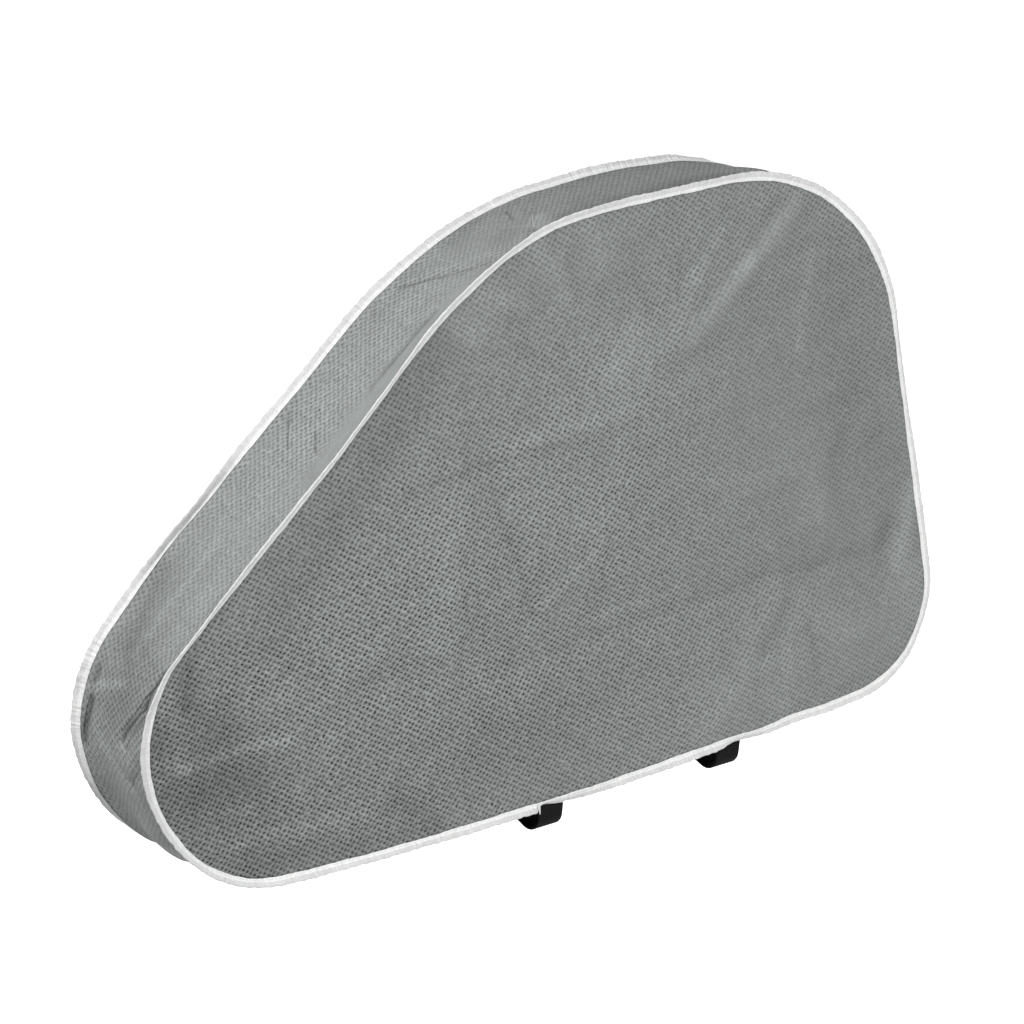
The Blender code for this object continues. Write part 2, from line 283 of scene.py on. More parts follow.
NEAR = Seam(
    Side.NEAR,
    wander=table_of(Wander, (  # round, out, back
        (0.00, 0.0, 0.0), (0.09, -0.0035, 0.0), (0.36, 0.002, 0.0), (0.545, -0.0002, 0.0),
        (0.60, 0.0005, 0.0), (0.80, 0.0003, 0.0), (0.86, 0.002, 0.0), (0.91, -0.0008, 0.0),
        (0.95, 0.0008, 0.0), (1.00, -0.0015, 0.0), (1.08, 0.002, 0.0), (1.50, -0.0015, 0.0),
        (1.72, -0.0018, 0.0), (1.80, -0.0006, 0.0), (1.90, -0.0008, 0.0), (1.96, -0.0025, 0.0),
        (2.18, 0.001, 0.0), (2.34, -0.002, 0.0), (2.60, 0.0015, 0.0),
    )),
    lean=table_of(Lean, (  # round, degrees
        (0.00, 7.0), (0.03, 15.0), (0.07, 25.0), (0.12, 34.0), (0.30, 42.0), (0.50, 40.0),
        (0.546, 36.0), (0.566, -52.0), (0.59, -24.0), (0.62, 0.0), (0.67, 28.0), (0.785, 30.0),
        (0.825, -30.0), (0.90, 28.0), (1.00, 38.0), (1.06, 16.0), (1.10, -4.0), (1.15, 6.0),
        (1.22, 0.0), (1.30, -4.0), (1.36, -12.0), (1.44, -18.0), (1.50, -8.0), (1.56, 14.0),
        (1.62, 20.0), (1.68, 22.0), (1.76, 17.0), (1.84, 18.0), (1.96, 22.0), (2.02, 19.0),
        (2.08, 31.0), (2.16, 27.0), (2.22, 38.0), (2.32, 41.0), (2.38, 37.0), (2.44, 31.0),
        (2.50, 35.0), (2.56, 50.0), (2.60, 30.0), (2.64, 14.0),
    )),
    lap=table_of(Lap, ((0.00, 0.0008), (1.30, 0.0008))),
)
FAR = Seam(
    Side.FAR,
    wander=table_of(Wander, (  # round, out, back
        (0.00, 0.0025, 0.003), (0.045, 0.0005, 0.003), (0.09, -0.001, 0.003), (0.125, 0.0, 0.002),
        (0.165, 0.0028, 0.0015), (0.21, 0.007, 0.0005), (0.27, 0.006, 0.0), (0.40, 0.0, 0.0),
        (1.64, -0.001, 0.0), (1.73, -0.005, 0.001), (1.77, -0.004, 0.001), (1.84, -0.001, 0.0015),
        (2.01, -0.005, -0.0076), (2.22, -0.0005, 0.0), (2.40, 0.002, 0.003),
        (2.48, 0.004, 0.0045), (2.57, 0.0015, 0.0015),
    )),
    lean=table_of(Lean, (  # round, degrees
        (0.00, 50.0), (0.045, 66.0), (0.09, 72.0), (0.125, 92.0), (0.20, 122.0), (0.32, 70.0),
        (0.50, 40.0), (0.60, 5.0), (0.70, 40.0), (0.83, 5.0), (0.95, 40.0), (1.48, 45.0),
        (1.56, 146.0), (1.648, 150.0), (1.678, 112.0), (1.718, 72.0), (1.78, 48.0), (1.88, 46.0),
        (2.12, 52.0), (2.20, 44.0), (2.34, 54.0), (2.40, 10.0), (2.44, -8.0), (2.48, 2.0),
        (2.54, 46.0), (2.60, 52.0),
    )),
    lap=table_of(Lap, (  # round, reach
        (0.00, 0.0024), (0.05, 0.0020), (0.09, 0.0), (1.69, 0.0), (1.73, 0.0024), (2.20, 0.0026),
    )),
)


# ---------------------------------------------------------------- folds, whitened creases and painted light and shade


@dataclass(frozen=True)
class Stroke:
    """A soft line on the flat cloth, from one end to the other, such as a fold, a whitened crease
    or a band of painted light and shade.

    `width` is its half width, and `amount` is how far it rises out of the cover, or what it adds
    to the emboss or the tone.
    """

    name: str
    along: float
    up: float
    to_along: float
    to_up: float
    width: float
    amount: float
    form: Form = Form.RIDGE

    def over(self, along: np.ndarray, up: np.ndarray) -> np.ndarray:
        """Return what the stroke adds at places on the flat cloth."""
        run, climb = self.to_along - self.along, self.to_up - self.up
        length = math.hypot(run, climb)
        ahead = ((along - self.along) * run + (up - self.up) * climb) / length
        left = ((up - self.up) * run - (along - self.along) * climb) / length
        beyond = ahead - np.clip(ahead, 0.0, length)
        across = left / self.width
        ends = np.exp(-(beyond / self.width) ** 2)
        if self.form is Form.RIDGE:
            return self.amount * ends * np.exp(-across ** 2)
        return self.amount * ends * across * np.exp(0.5 - 0.5 * across ** 2)


def overall(strokes: tuple[Stroke, ...], along: np.ndarray, up: np.ndarray) -> np.ndarray:
    """Return what all the strokes together add at places on the flat cloth."""
    return sum((stroke.over(along, up) for stroke in strokes), np.zeros_like(along))


@dataclass(frozen=True)
class Drift:
    """Pushes places about a little, so that no line on the cloth runs ruler-straight."""

    amount: float = 0.007
    size: float = 0.075
    seed: float = 2.0
    offsets: int = 156  # sets the vector noise's own offsets, the same ones in every run

    def moved(self, along: np.ndarray, up: np.ndarray) -> tuple[np.ndarray, np.ndarray]:
        """Return the places after the push, as along and up."""
        noise.seed_set(self.offsets)
        pushes = [self._push(a, u) for a, u in zip(along.ravel(), up.ravel())]
        shift = np.array(pushes).reshape(*along.shape, 2)
        return along + shift[..., 0], up + shift[..., 1]

    def _push(self, along: float, up: float) -> tuple[float, float]:
        """Return the push at one place."""
        place = Vector((along, up, self.seed * self.size)) / self.size
        push = noise.noise_vector(place) + noise.noise_vector(place * 3.3) * 0.35
        return self.amount * push.x, self.amount * push.y


@dataclass(frozen=True)
class Mottle:
    """Cloudy thick and thin places in the cloth."""

    cloud: float = 0.042
    blot: float = 0.028
    seed: float = 4.0

    def over(self, along: np.ndarray, up: np.ndarray) -> np.ndarray:
        """Return what the mottling adds to the tone at places on the flat cloth."""
        tones = [self._tone(a, u) for a, u in zip(along.ravel(), up.ravel())]
        return np.array(tones).reshape(along.shape)

    def _tone(self, along: float, up: float) -> float:
        """Return the tone at one place."""
        slanted = Vector((along * 0.8 + up * 0.6, (up * 0.8 - along * 0.6) * 2.0, self.seed))
        cloud = noise.noise(slanted / 0.050) + 0.6 * noise.noise(slanted / 0.024)
        return self.cloud * cloud + self.blot * noise.noise(slanted / 0.011)


@dataclass(frozen=True)
class Crumple:
    """The small creases that limp cloth keeps all over."""

    swell: float = 0.0014  # height of its soft waves
    swell_size: float = 0.075
    crease: float = 0.0011  # height of its sharper lines
    crease_size: float = 0.052
    seed: float = 3.0

    def over(self, along: np.ndarray, up: np.ndarray) -> np.ndarray:
        """Return the crumple's height at places on the flat cloth."""
        heights = [self._height(a, u) for a, u in zip(along.ravel(), up.ravel())]
        return np.array(heights).reshape(along.shape)

    def _height(self, along: float, up: float) -> float:
        """Return the height at one place."""
        swell = noise.noise(Vector((along, up * 1.3, self.seed)) / self.swell_size)
        turned = Vector((along * 0.94 + up * 0.34, (up * 0.94 - along * 0.34) * 0.6, -self.seed))
        crease = 1.0 - 2.0 * abs(noise.noise(turned / self.crease_size))
        return self.swell * swell + self.crease * crease ** 3


def smooth_step(values: np.ndarray) -> np.ndarray:
    """Return values cut to 0..1 and eased at both ends."""
    part = np.clip(values, 0.0, 1.0)
    return part * part * (3 - 2 * part)


# ---------------------------------------------------------------- mesh helpers


def deselect() -> None:
    """Leave nothing selected."""
    for item in list(bpy.context.selected_objects):
        item.select_set(False)


def pick(piece: bpy.types.Object) -> None:
    """Leave only this piece selected, and active."""
    deselect()
    piece.select_set(True)
    bpy.context.view_layer.objects.active = piece


def thicken(piece: bpy.types.Object) -> None:
    """Give a flat piece the cloth's thickness, half of it to each side."""
    pick(piece)
    shell = piece.modifiers.new("thickness of the cloth", "SOLIDIFY")
    shell.thickness = CLOTH
    shell.offset = 0.0
    bpy.ops.object.modifier_apply(modifier=shell.name)
    deselect()


def close_ends(piece: bpy.types.Object) -> None:
    """Fill the two cut ends of a tube of faces and turn its faces outwards."""
    pick(piece)
    bpy.ops.object.mode_set(mode="EDIT")
    bpy.ops.mesh.select_mode(type="EDGE")
    bpy.ops.mesh.select_all(action="DESELECT")
    bpy.ops.mesh.select_non_manifold()
    bpy.ops.mesh.edge_face_add()
    bpy.ops.mesh.select_all(action="SELECT")
    bpy.ops.mesh.normals_make_consistent(inside=False)
    bpy.ops.object.mode_set(mode="OBJECT")
    deselect()


@dataclass
class Lattice:
    """A grid of places that becomes a mesh, with its pattern and its attributes.

    `places` is (columns, rows, 3). `pattern` is the flat place of each corner, with one more
    column or row than `places` where the mesh closes on itself that way.
    """

    places: np.ndarray
    pattern: np.ndarray
    attributes: dict[str, np.ndarray] = field(default_factory=dict)
    close_columns: bool = False
    close_rows: bool = False
    turned_over: bool = False

    def make(self, name: str) -> bpy.types.Object:
        """Make the mesh object.

        Args:
            name: the piece's name.

        Returns:
            The new object, at the origin, with its places in its mesh.
        """
        columns, rows = self.places.shape[:2]
        i, j = np.meshgrid(np.arange(columns if self.close_columns else columns - 1),
                           np.arange(rows if self.close_rows else rows - 1), indexing="ij")
        corners = [(i, j), (i + 1, j), (i + 1, j + 1), (i, j + 1)]
        if self.turned_over:
            corners.reverse()
        quads = np.stack([(c % columns) * rows + r % rows for c, r in corners], axis=-1)
        flat = np.stack([self.pattern[c, r] for c, r in corners], axis=2)
        data = bpy.data.meshes.new(name)
        data.from_pydata(self.places.reshape(-1, 3).tolist(), [], quads.reshape(-1, 4).tolist())
        layer = data.uv_layers.new(name=PATTERN)
        layer.data.foreach_set("uv", flat.astype(np.float32).ravel())
        for title, values in self.attributes.items():
            attribute = data.attributes.new(title, "FLOAT", "POINT")
            attribute.data.foreach_set("value", values.astype(np.float32).ravel())
        data.shade_smooth()
        data.validate()
        piece = bpy.data.objects.new(name, data)
        bpy.context.scene.collection.objects.link(piece)
        return piece


def mount_piece(piece: bpy.types.Object, node: str,
                material: bpy.types.Material) -> None:
    """Put a finished piece on the frame in place of its CAD node.

    Args:
        piece: the finished piece.
        node: the CAD node that it stands for.
        material: its finish.
    """
    piece.data.materials.clear()
    piece.data.materials.append(material)
    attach(piece, "root")
    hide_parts(node)
    LOG.info("%s: %d faces", piece.name, len(piece.data.polygons))


# ---------------------------------------------------------------- finishes


class NodeSheet:
    """Adds and joins the nodes of one material or group."""

    def __init__(self, tree: bpy.types.NodeTree) -> None:
        """Keep the node tree."""
        self.tree = tree

    def add(self, kind: str, **settings: object) -> bpy.types.Node:
        """Add a node and set its properties."""
        node = self.tree.nodes.new(kind)
        for name, value in settings.items():
            setattr(node, name, value)
        return node

    def feed(self, socket: bpy.types.NodeSocket, source: object) -> None:
        """Join a socket to another one, or set its value."""
        if isinstance(source, bpy.types.NodeSocket):
            self.tree.links.new(source, socket)
        else:
            socket.default_value = source

    def math(self, operation: str, *sources: object) -> bpy.types.NodeSocket:
        """Return the result of a Math node fed with sockets or numbers."""
        node = self.add("ShaderNodeMath", operation=operation)
        for socket, source in zip(node.inputs, sources):
            self.feed(socket, source)
        return node.outputs[0]

    def fit(self, value: object, scale: object, base: object) -> bpy.types.NodeSocket:
        """Return a value times a scale, plus a base."""
        return self.math("MULTIPLY_ADD", value, scale, base)

    def times(self, first: object, *others: object) -> bpy.types.NodeSocket:
        """Return the product of sockets or numbers."""
        for other in others:
            first = self.math("MULTIPLY", first, other)
        return first

    def axes(self, place: object) -> tuple[bpy.types.NodeSocket, bpy.types.NodeSocket]:
        """Return a place's X and Y."""
        parts = self.add("ShaderNodeSeparateXYZ")
        self.feed(parts.inputs[0], place)
        return parts.outputs["X"], parts.outputs["Y"]

    def flat_place(self, along: object, up: object, height: float = 0.0) -> bpy.types.NodeSocket:
        """Return a place made of its X, Y and Z."""
        joint = self.add("ShaderNodeCombineXYZ")
        for socket, source in zip(joint.inputs, (along, up, height)):
            self.feed(socket, source)
        return joint.outputs[0]

    def vector(self, operation: str, *sources: object) -> bpy.types.NodeSocket:
        """Return the vector of a Vector Math node fed with sockets or vectors."""
        node = self.add("ShaderNodeVectorMath", operation=operation)
        sockets = [socket for socket in node.inputs if socket.enabled]
        for socket, source in zip(sockets, sources):
            self.feed(socket, source)
        return node.outputs["Value" if operation in ("LENGTH", "DOT_PRODUCT") else "Vector"]

    def ramp(self, value: object, start: object, end: object, low: float = 0.0,
             high: float = 1.0) -> bpy.types.NodeSocket:
        """Return a value eased from low at start to high at end."""
        node = self.add("ShaderNodeMapRange", interpolation_type="SMOOTHSTEP")
        for socket, source in zip(node.inputs, (value, start, end, low, high)):
            self.feed(socket, source)
        return node.outputs[0]

    def kept_to_one(self, value: object) -> bpy.types.NodeSocket:
        """Return a value kept between 0 and 1."""
        node = self.add("ShaderNodeClamp")
        self.feed(node.inputs["Value"], value)
        return node.outputs[0]

    def noise(self, place: object, scale: float, detail: float = 2.0,
              roughness: float = 0.5) -> bpy.types.NodeSocket:
        """Return a noise value, about one half."""
        node = self.add("ShaderNodeTexNoise")
        self.feed(node.inputs["Vector"], place)
        node.inputs["Scale"].default_value = scale
        node.inputs["Detail"].default_value = detail
        node.inputs["Roughness"].default_value = roughness
        return node.outputs["Fac"]

    def drifted(self, place: object, scale: float, amount: float) -> bpy.types.NodeSocket:
        """Return places pushed about by noise."""
        node = self.add("ShaderNodeTexNoise")
        self.feed(node.inputs["Vector"], place)
        node.inputs["Scale"].default_value = scale
        push = self.vector("SUBTRACT", node.outputs["Color"], (0.5, 0.5, 0.5))
        return self.vector("ADD", place, self.vector("SCALE", push, amount))

    def attribute(self, name: str) -> bpy.types.NodeSocket:
        """Return the value of one of the piece's own attributes."""
        return self.add("ShaderNodeAttribute", attribute_name=name).outputs["Fac"]

    def pattern(self, turn: float = 0.0) -> bpy.types.NodeSocket:
        """Return places on the flat cloth, turned by some degrees."""
        flat = self.add("ShaderNodeUVMap", uv_map=PATTERN)
        mapping = self.add("ShaderNodeMapping")
        self.feed(mapping.inputs["Vector"], flat.outputs["UV"])
        mapping.inputs["Rotation"].default_value = (0.0, 0.0, math.radians(turn))
        return mapping.outputs["Vector"]

    def tinted(self, colour: tuple[float, float, float], shade: object) -> bpy.types.NodeSocket:
        """Return a colour made lighter or darker by a value."""
        mix = self.add("ShaderNodeMix", data_type="RGBA", blend_type="MULTIPLY")
        mix.inputs["Factor"].default_value = 1.0
        self.feed(mix.inputs["A"], (*colour, 1.0))
        self.feed(mix.inputs["B"], shade)
        return mix.outputs["Result"]


class Effect:
    """A shader node group that is built once and used by several finishes."""

    title = ""
    sizes: dict[str, float] = {}
    results: tuple[str, ...] = ()

    def __init__(self) -> None:
        """Build the group, or take the one that is there."""
        self.group = bpy.data.node_groups.get(self.title) or self._build()

    def _build(self) -> bpy.types.NodeTree:
        """Make the group's sockets and draw its nodes."""
        group = bpy.data.node_groups.new(self.title, "ShaderNodeTree")
        group.interface.new_socket("Place", in_out="INPUT", socket_type="NodeSocketVector")
        for name, value in self.sizes.items():
            socket = group.interface.new_socket(name, in_out="INPUT", socket_type="NodeSocketFloat")
            socket.default_value = value
        for name in self.results:
            group.interface.new_socket(name, in_out="OUTPUT", socket_type="NodeSocketFloat")
        sheet = NodeSheet(group)
        entry = sheet.add("NodeGroupInput").outputs
        leave = sheet.add("NodeGroupOutput").inputs
        for name, value in self.draw(sheet, entry).items():
            sheet.feed(leave[name], value)
        return group

    def draw(self, sheet: NodeSheet, entry: object) -> dict[str, bpy.types.NodeSocket]:
        """Draw the nodes and return the named results."""
        raise NotImplementedError

    def use(self, sheet: NodeSheet, place: bpy.types.NodeSocket,
            **values: object) -> dict[str, bpy.types.NodeSocket]:
        """Place the group in a material.

        Args:
            sheet: the material's nodes.
            place: the places that the effect is drawn on.
            values: the group's inputs, with _ for each space in a name.

        Returns:
            The group's outputs by name.
        """
        node = sheet.add("ShaderNodeGroup", node_tree=self.group)
        sheet.feed(node.inputs["Place"], place)
        for name, value in values.items():
            sheet.feed(node.inputs[name.replace("_", " ")], value)
        return {name: node.outputs[name] for name in self.results}


class EmbossedDots(Effect):
    """Dots pressed into cloth, at the corners and the middles of a grid of cells.

    Each dot is a little longer along than up, out of its place, and pressed more or less deeply.
    """

    title = "embossed dots"
    sizes = {"Cell Along": 0.00762, "Cell Up": 0.00688, "Radius": 0.00102, "Softness": 0.00042,
             "Uneven": 0.60, "Jitter": 0.21}
    results = ("Dot", "Pillow")
    stray_scale, stray = 260.0, 0.0009  # of the rows of dots
    oval = (0.86, 1.14, 0.0)

    def draw(self, sheet: NodeSheet, entry: object) -> dict[str, bpy.types.NodeSocket]:
        """Draw the dots, and the pillows that stand between them."""
        cell = sheet.flat_place(entry["Cell Along"], entry["Cell Up"], 1.0)
        place = sheet.drifted(entry["Place"], self.stray_scale, self.stray)
        step = sheet.vector("DIVIDE", place, cell)
        inner = sheet.math("SUBTRACT", entry["Radius"], entry["Softness"])
        outer = sheet.math("ADD", entry["Radius"], entry["Softness"])
        misses, dots = [], []
        for shift in ((0.0, 0.0, 0.0), (0.5, 0.5, 0.0)):
            moved = sheet.vector("ADD", step, shift)
            chance = sheet.add("ShaderNodeTexWhiteNoise", noise_dimensions="3D")
            sheet.feed(chance.inputs["Vector"],
                       sheet.vector("ADD", sheet.vector("FLOOR", moved), shift))
            off = sheet.vector("SUBTRACT", chance.outputs["Color"], (0.5, 0.5, 0.5))
            off = sheet.vector("SCALE", off, entry["Jitter"])
            centred = sheet.vector("SUBTRACT", sheet.vector("FRACTION", moved), (0.5, 0.5, 0.0))
            centred = sheet.vector("ADD", centred, off)
            oval = sheet.vector("MULTIPLY", centred, self.oval)
            miss = sheet.vector("LENGTH", sheet.vector("MULTIPLY", oval, cell))
            weaker = sheet.times(chance.outputs["Value"], entry["Uneven"])
            dots.append(sheet.times(sheet.ramp(miss, inner, outer, 1.0, 0.0),
                                   sheet.math("SUBTRACT", 1.0, weaker)))
            misses.append(miss)
        pillow = sheet.ramp(sheet.math("MINIMUM", *misses), outer,
                            sheet.times(entry["Cell Up"], 0.5))
        return {"Dot": sheet.math("MAXIMUM", *dots), "Pillow": pillow}


class Fibres(Effect):
    """The cloudy lay of fine fibres in non-woven cloth."""

    title = "fibres"
    sizes = {"Clouds": 1.0, "Grain": 1.0}
    results = ("Shade", "Height")
    layers = ((38.0, 3.0, 0.6), (210.0, 2.0, 0.6), (760.0, 2.0, 0.7))  # scale, detail, roughness

    def draw(self, sheet: NodeSheet, entry: object) -> dict[str, bpy.types.NodeSocket]:
        """Draw thin and thick places in three sizes, and the height of the lying fibres."""
        cloud, blot, grain = (sheet.math("SUBTRACT", sheet.noise(entry["Place"], *layer), 0.5)
                              for layer in self.layers)
        soft = sheet.times(sheet.math("ADD", cloud, blot), entry["Clouds"])
        fine = sheet.times(grain, entry["Grain"])
        shade = sheet.math("ADD", 1.0, sheet.math("ADD", soft, fine))
        height = sheet.math("ADD", sheet.times(blot, 0.6), grain)
        return {"Shade": shade, "Height": height}


class StitchRow(Effect):
    """A row of short stitches along a tape, and the dimples that they pull."""

    title = "stitch row"
    sizes = {"Stitch": 0.0034, "Line": 0.0024, "Thread": 0.0004}
    results = ("Thread", "Pull")
    ends = (0.30, 0.38)  # a stitch ends between these, from its middle, in steps
    wide, pulled = 2.0, 5.0  # the thread's soft edge and its pull, in threads

    def draw(self, sheet: NodeSheet, entry: object) -> dict[str, bpy.types.NodeSocket]:
        """Draw the thread, and its pull on the tape round it."""
        along, across = sheet.axes(entry["Place"])
        part = sheet.math("FRACT", sheet.math("DIVIDE", along, entry["Stitch"]))
        middle = sheet.math("ABSOLUTE", sheet.math("SUBTRACT", part, 0.5))
        off = sheet.math("ABSOLUTE", sheet.math("SUBTRACT", across, entry["Line"]))
        within = sheet.ramp(middle, *self.ends, 1.0, 0.0)
        wide = sheet.times(entry["Thread"], self.wide)
        thread = sheet.times(within, sheet.ramp(off, entry["Thread"], wide, 1.0, 0.0))
        pull = sheet.ramp(off, 0.0, sheet.times(entry["Thread"], self.pulled), 1.0, 0.0)
        return {"Thread": thread, "Pull": sheet.times(pull, within)}


class SharpCrease(Effect):
    """A sharp crease in cloth, narrower towards both ends."""

    title = "sharp crease"
    sizes = {"Along": 0.0, "Up": 0.0, "To Along": 1.0, "To Up": 0.0, "Width": 0.001}
    results = ("Crease",)
    stray_scale, stray = 70.0, 0.002  # of the crease's line
    narrowing = 0.8  # at its two ends

    def draw(self, sheet: NodeSheet, entry: object) -> dict[str, bpy.types.NodeSocket]:
        """Draw how near each place is to the crease."""
        start = sheet.flat_place(entry["Along"], entry["Up"])
        end = sheet.flat_place(entry["To Along"], entry["To Up"])
        run = sheet.vector("SUBTRACT", end, start)
        place = sheet.drifted(entry["Place"], self.stray_scale, self.stray)
        away = sheet.vector("SUBTRACT", place, start)
        share = sheet.math("DIVIDE", sheet.vector("DOT_PRODUCT", away, run),
                           sheet.vector("DOT_PRODUCT", run, run))
        share = sheet.kept_to_one(share)
        miss = sheet.vector("LENGTH", sheet.vector("SUBTRACT", away,
                                                   sheet.vector("SCALE", run, share)))
        middle = sheet.math("ABSOLUTE", sheet.fit(share, 2.0, -1.0))
        narrow = sheet.fit(sheet.math("POWER", middle, 3.0), -self.narrowing, 1.0)
        width = sheet.times(entry["Width"], narrow)
        return {"Crease": sheet.ramp(miss, 0.0, width, 1.0, 0.0)}


class Finish:
    """A material that a piece is made of."""

    name: str

    def start(self) -> tuple[bpy.types.Material, NodeSheet, bpy.types.Node]:
        """Return a new material, its nodes and its Principled shader."""
        material = bpy.data.materials.new(self.name)
        material.use_nodes = True
        sheet = NodeSheet(material.node_tree)
        return material, sheet, material.node_tree.nodes["Principled BSDF"]

    @staticmethod
    def raised(sheet: NodeSheet, shader: bpy.types.Node, height: object) -> None:
        """Feed a height in metres to the shader's normal."""
        bump = sheet.add("ShaderNodeBump")
        bump.inputs["Strength"].default_value = 1.0
        bump.inputs["Distance"].default_value = 1.0
        sheet.feed(bump.inputs["Height"], height)
        sheet.feed(shader.inputs["Normal"], bump.outputs["Normal"])


@dataclass(frozen=True)
class ClothFinish(Finish):
    """Grey non-woven cloth, pressed all over with small dots."""

    name: str
    turn: float  # of the dots' rows on the flat cloth, in degrees
    colour: tuple[float, float, float] = (0.239, 0.250, 0.246)
    darkness: float = 0.98  # how much darker a fully pressed dot is
    glow: float = 0.60  # painted highlight: how much lighter the pillows between the dots are
    depth: float = 0.00055  # of the dots
    nap: float = 0.00010  # height of the fibres
    creases: tuple[Stroke, ...] = ()  # the sharp ones; a negative amount paints shade into the crease and a positive one a highlight
    cut: float = 0.0005  # depth of a sharp crease

    def make(self) -> bpy.types.Material:
        """Return the material."""
        material, sheet, shader = self.start()
        place = sheet.pattern(self.turn)
        dots = EmbossedDots().use(sheet, place)
        fibres = Fibres().use(sheet, place, Clouds=0.26, Grain=1.35)
        press = sheet.attribute(EMBOSS)
        pressed = sheet.times(dots["Dot"], press)
        proud = sheet.times(dots["Pillow"], press)
        dark = sheet.fit(pressed, -self.darkness, 1.0)
        # painted highlight on the raised pillows between the dots
        light = sheet.fit(proud, self.glow, 1.0)
        # the tone attribute carries painted light and shade, whitened creases and mottling
        shade = sheet.times(dark, light, fibres["Shade"], sheet.attribute(TONE))
        sunk = 0.0
        for crease in self.creases:
            near = SharpCrease().use(sheet, sheet.pattern(), Along=crease.along, Up=crease.up,
                                     To_Along=crease.to_along, To_Up=crease.to_up,
                                     Width=crease.width)["Crease"]
            # painted shade along each sharp crease, and a painted highlight where its amount is
            # positive
            shade = sheet.times(shade, sheet.fit(near, crease.amount, 1.0))
            sunk = sheet.math("ADD", sunk, near)
        sheet.feed(shader.inputs["Base Color"], sheet.tinted(self.colour, shade))
        sheet.feed(shader.inputs["Roughness"], sheet.fit(pressed, -0.22, 0.86))
        shader.inputs["Specular IOR Level"].default_value = 0.25
        shader.inputs["Sheen Weight"].default_value = 0.06
        height = sheet.times(sheet.math("SUBTRACT", proud, pressed), self.depth)
        height = sheet.fit(fibres["Height"], self.nap, height)
        height = sheet.fit(sunk, -self.cut, height)
        self.raised(sheet, shader, height)
        return material


@dataclass(frozen=True)
class TapeFinish(Finish):
    """White non-woven tape, folded lengthwise and stitched down along its free edges."""

    name: str = "white binding tape"
    colour: tuple[float, float, float] = (0.83, 0.83, 0.825)
    hem: float = 0.0030  # width of the turned hem along the stitches, which carries painted light
    # painted light on the hem
    hem_tone: float = 1.13
    flat_tone: float = 0.90  # painted shade over the rest of the tape
    fold: float = 0.0089  # width of the tape, out to its fold
    # the tape is darker towards its fold
    fold_tone: float = 0.94
    nap: float = 0.00016  # height of the fibres
    gathers: float = 0.0012  # height of the gathers
    gather_scale: float = 330.0
    gather_run: float = 0.12  # they change this much less across the tape than along it
    # painted light and shade on the gathers
    gather_tone: float = 0.9
    # painted shade in the dimples that the stitches pull
    dimple_tone: float = 0.10
    thread_tone: float = 0.12
    dimple: float = 0.00018  # depth of the stitches' pull
    thread: float = 0.00020  # height of the thread

    def make(self) -> bpy.types.Material:
        """Return the material."""
        material, sheet, shader = self.start()
        place = sheet.pattern()
        fibres = Fibres().use(sheet, place, Clouds=0.26, Grain=0.75)
        stitches = StitchRow().use(sheet, place)
        _, across = sheet.axes(place)
        # painted light on the hem and painted shade over the rest of the tape
        bright = sheet.ramp(across, self.hem, self.hem * 1.5, self.hem_tone, self.flat_tone)
        # darker towards the fold
        darker_at_fold = sheet.ramp(across, self.fold * 0.85, self.fold, 1.0, self.fold_tone)
        drawn = sheet.vector("MULTIPLY", place, (1.0, self.gather_run, 1.0))
        ripple = sheet.math("SUBTRACT", sheet.noise(drawn, self.gather_scale, 1.0), 0.5)
        gather = sheet.times(ripple, sheet.attribute(PUCKER))
        # the gathers get painted light and shade, and the tone attribute adds painted shade
        shade = sheet.times(bright, darker_at_fold, fibres["Shade"],
                            sheet.fit(gather, self.gather_tone, 1.0), sheet.attribute(TONE))
        # painted shade in the stitches' dimples
        shade = sheet.fit(stitches["Pull"], -self.dimple_tone, shade)
        shade = sheet.fit(stitches["Thread"], self.thread_tone, shade)
        sheet.feed(shader.inputs["Base Color"], sheet.tinted(self.colour, shade))
        sheet.feed(shader.inputs["Roughness"], sheet.fit(shade, 0.10, 0.72))
        shader.inputs["Specular IOR Level"].default_value = 0.30
        shader.inputs["Sheen Weight"].default_value = 0.08
        height = sheet.times(fibres["Height"], self.nap)
        height = sheet.fit(gather, self.gathers, height)
        height = sheet.fit(stitches["Pull"], -self.dimple, height)
        height = sheet.fit(stitches["Thread"], self.thread, height)
        self.raised(sheet, shader, height)
        return material


@dataclass(frozen=True)
class WebbingFinish(Finish):
    """Black woven webbing with fine ribs and a plaited weave."""

    name: str = "black webbing"
    colour: tuple[float, float, float] = (0.0030, 0.0030, 0.0033)
    pick: float = 0.0016  # from one rib of the weave to the next
    end: float = 0.0021  # from one column of the weave to the next
    relief: float = 0.00035  # height of the weave
    nap: float = 0.00006  # height of the fibres

    def make(self) -> bpy.types.Material:
        """Return the material."""
        material, sheet, shader = self.start()
        place = sheet.pattern()
        fibres = Fibres().use(sheet, place, Clouds=0.30, Grain=0.60)
        along, across = sheet.axes(place)
        column = sheet.math("DIVIDE", across, self.end)
        slant = sheet.math("PINGPONG", column, 1.0)
        row = sheet.math("DIVIDE", along, self.pick)
        rib = sheet.math("PINGPONG", sheet.fit(slant, 0.8, row), 0.5)
        cord = sheet.math("PINGPONG", column, 0.5)
        weave = sheet.math("ADD", rib, cord)
        shade = sheet.times(sheet.fit(weave, 0.9, 0.55), fibres["Shade"])
        sheet.feed(shader.inputs["Base Color"], sheet.tinted(self.colour, shade))
        sheet.feed(shader.inputs["Roughness"], sheet.fit(weave, 0.14, 0.58))
        shader.inputs["Specular IOR Level"].default_value = 0.18
        height = sheet.times(weave, self.relief)
        height = sheet.fit(fibres["Height"], self.nap, height)
        self.raised(sheet, shader, height)
        return material


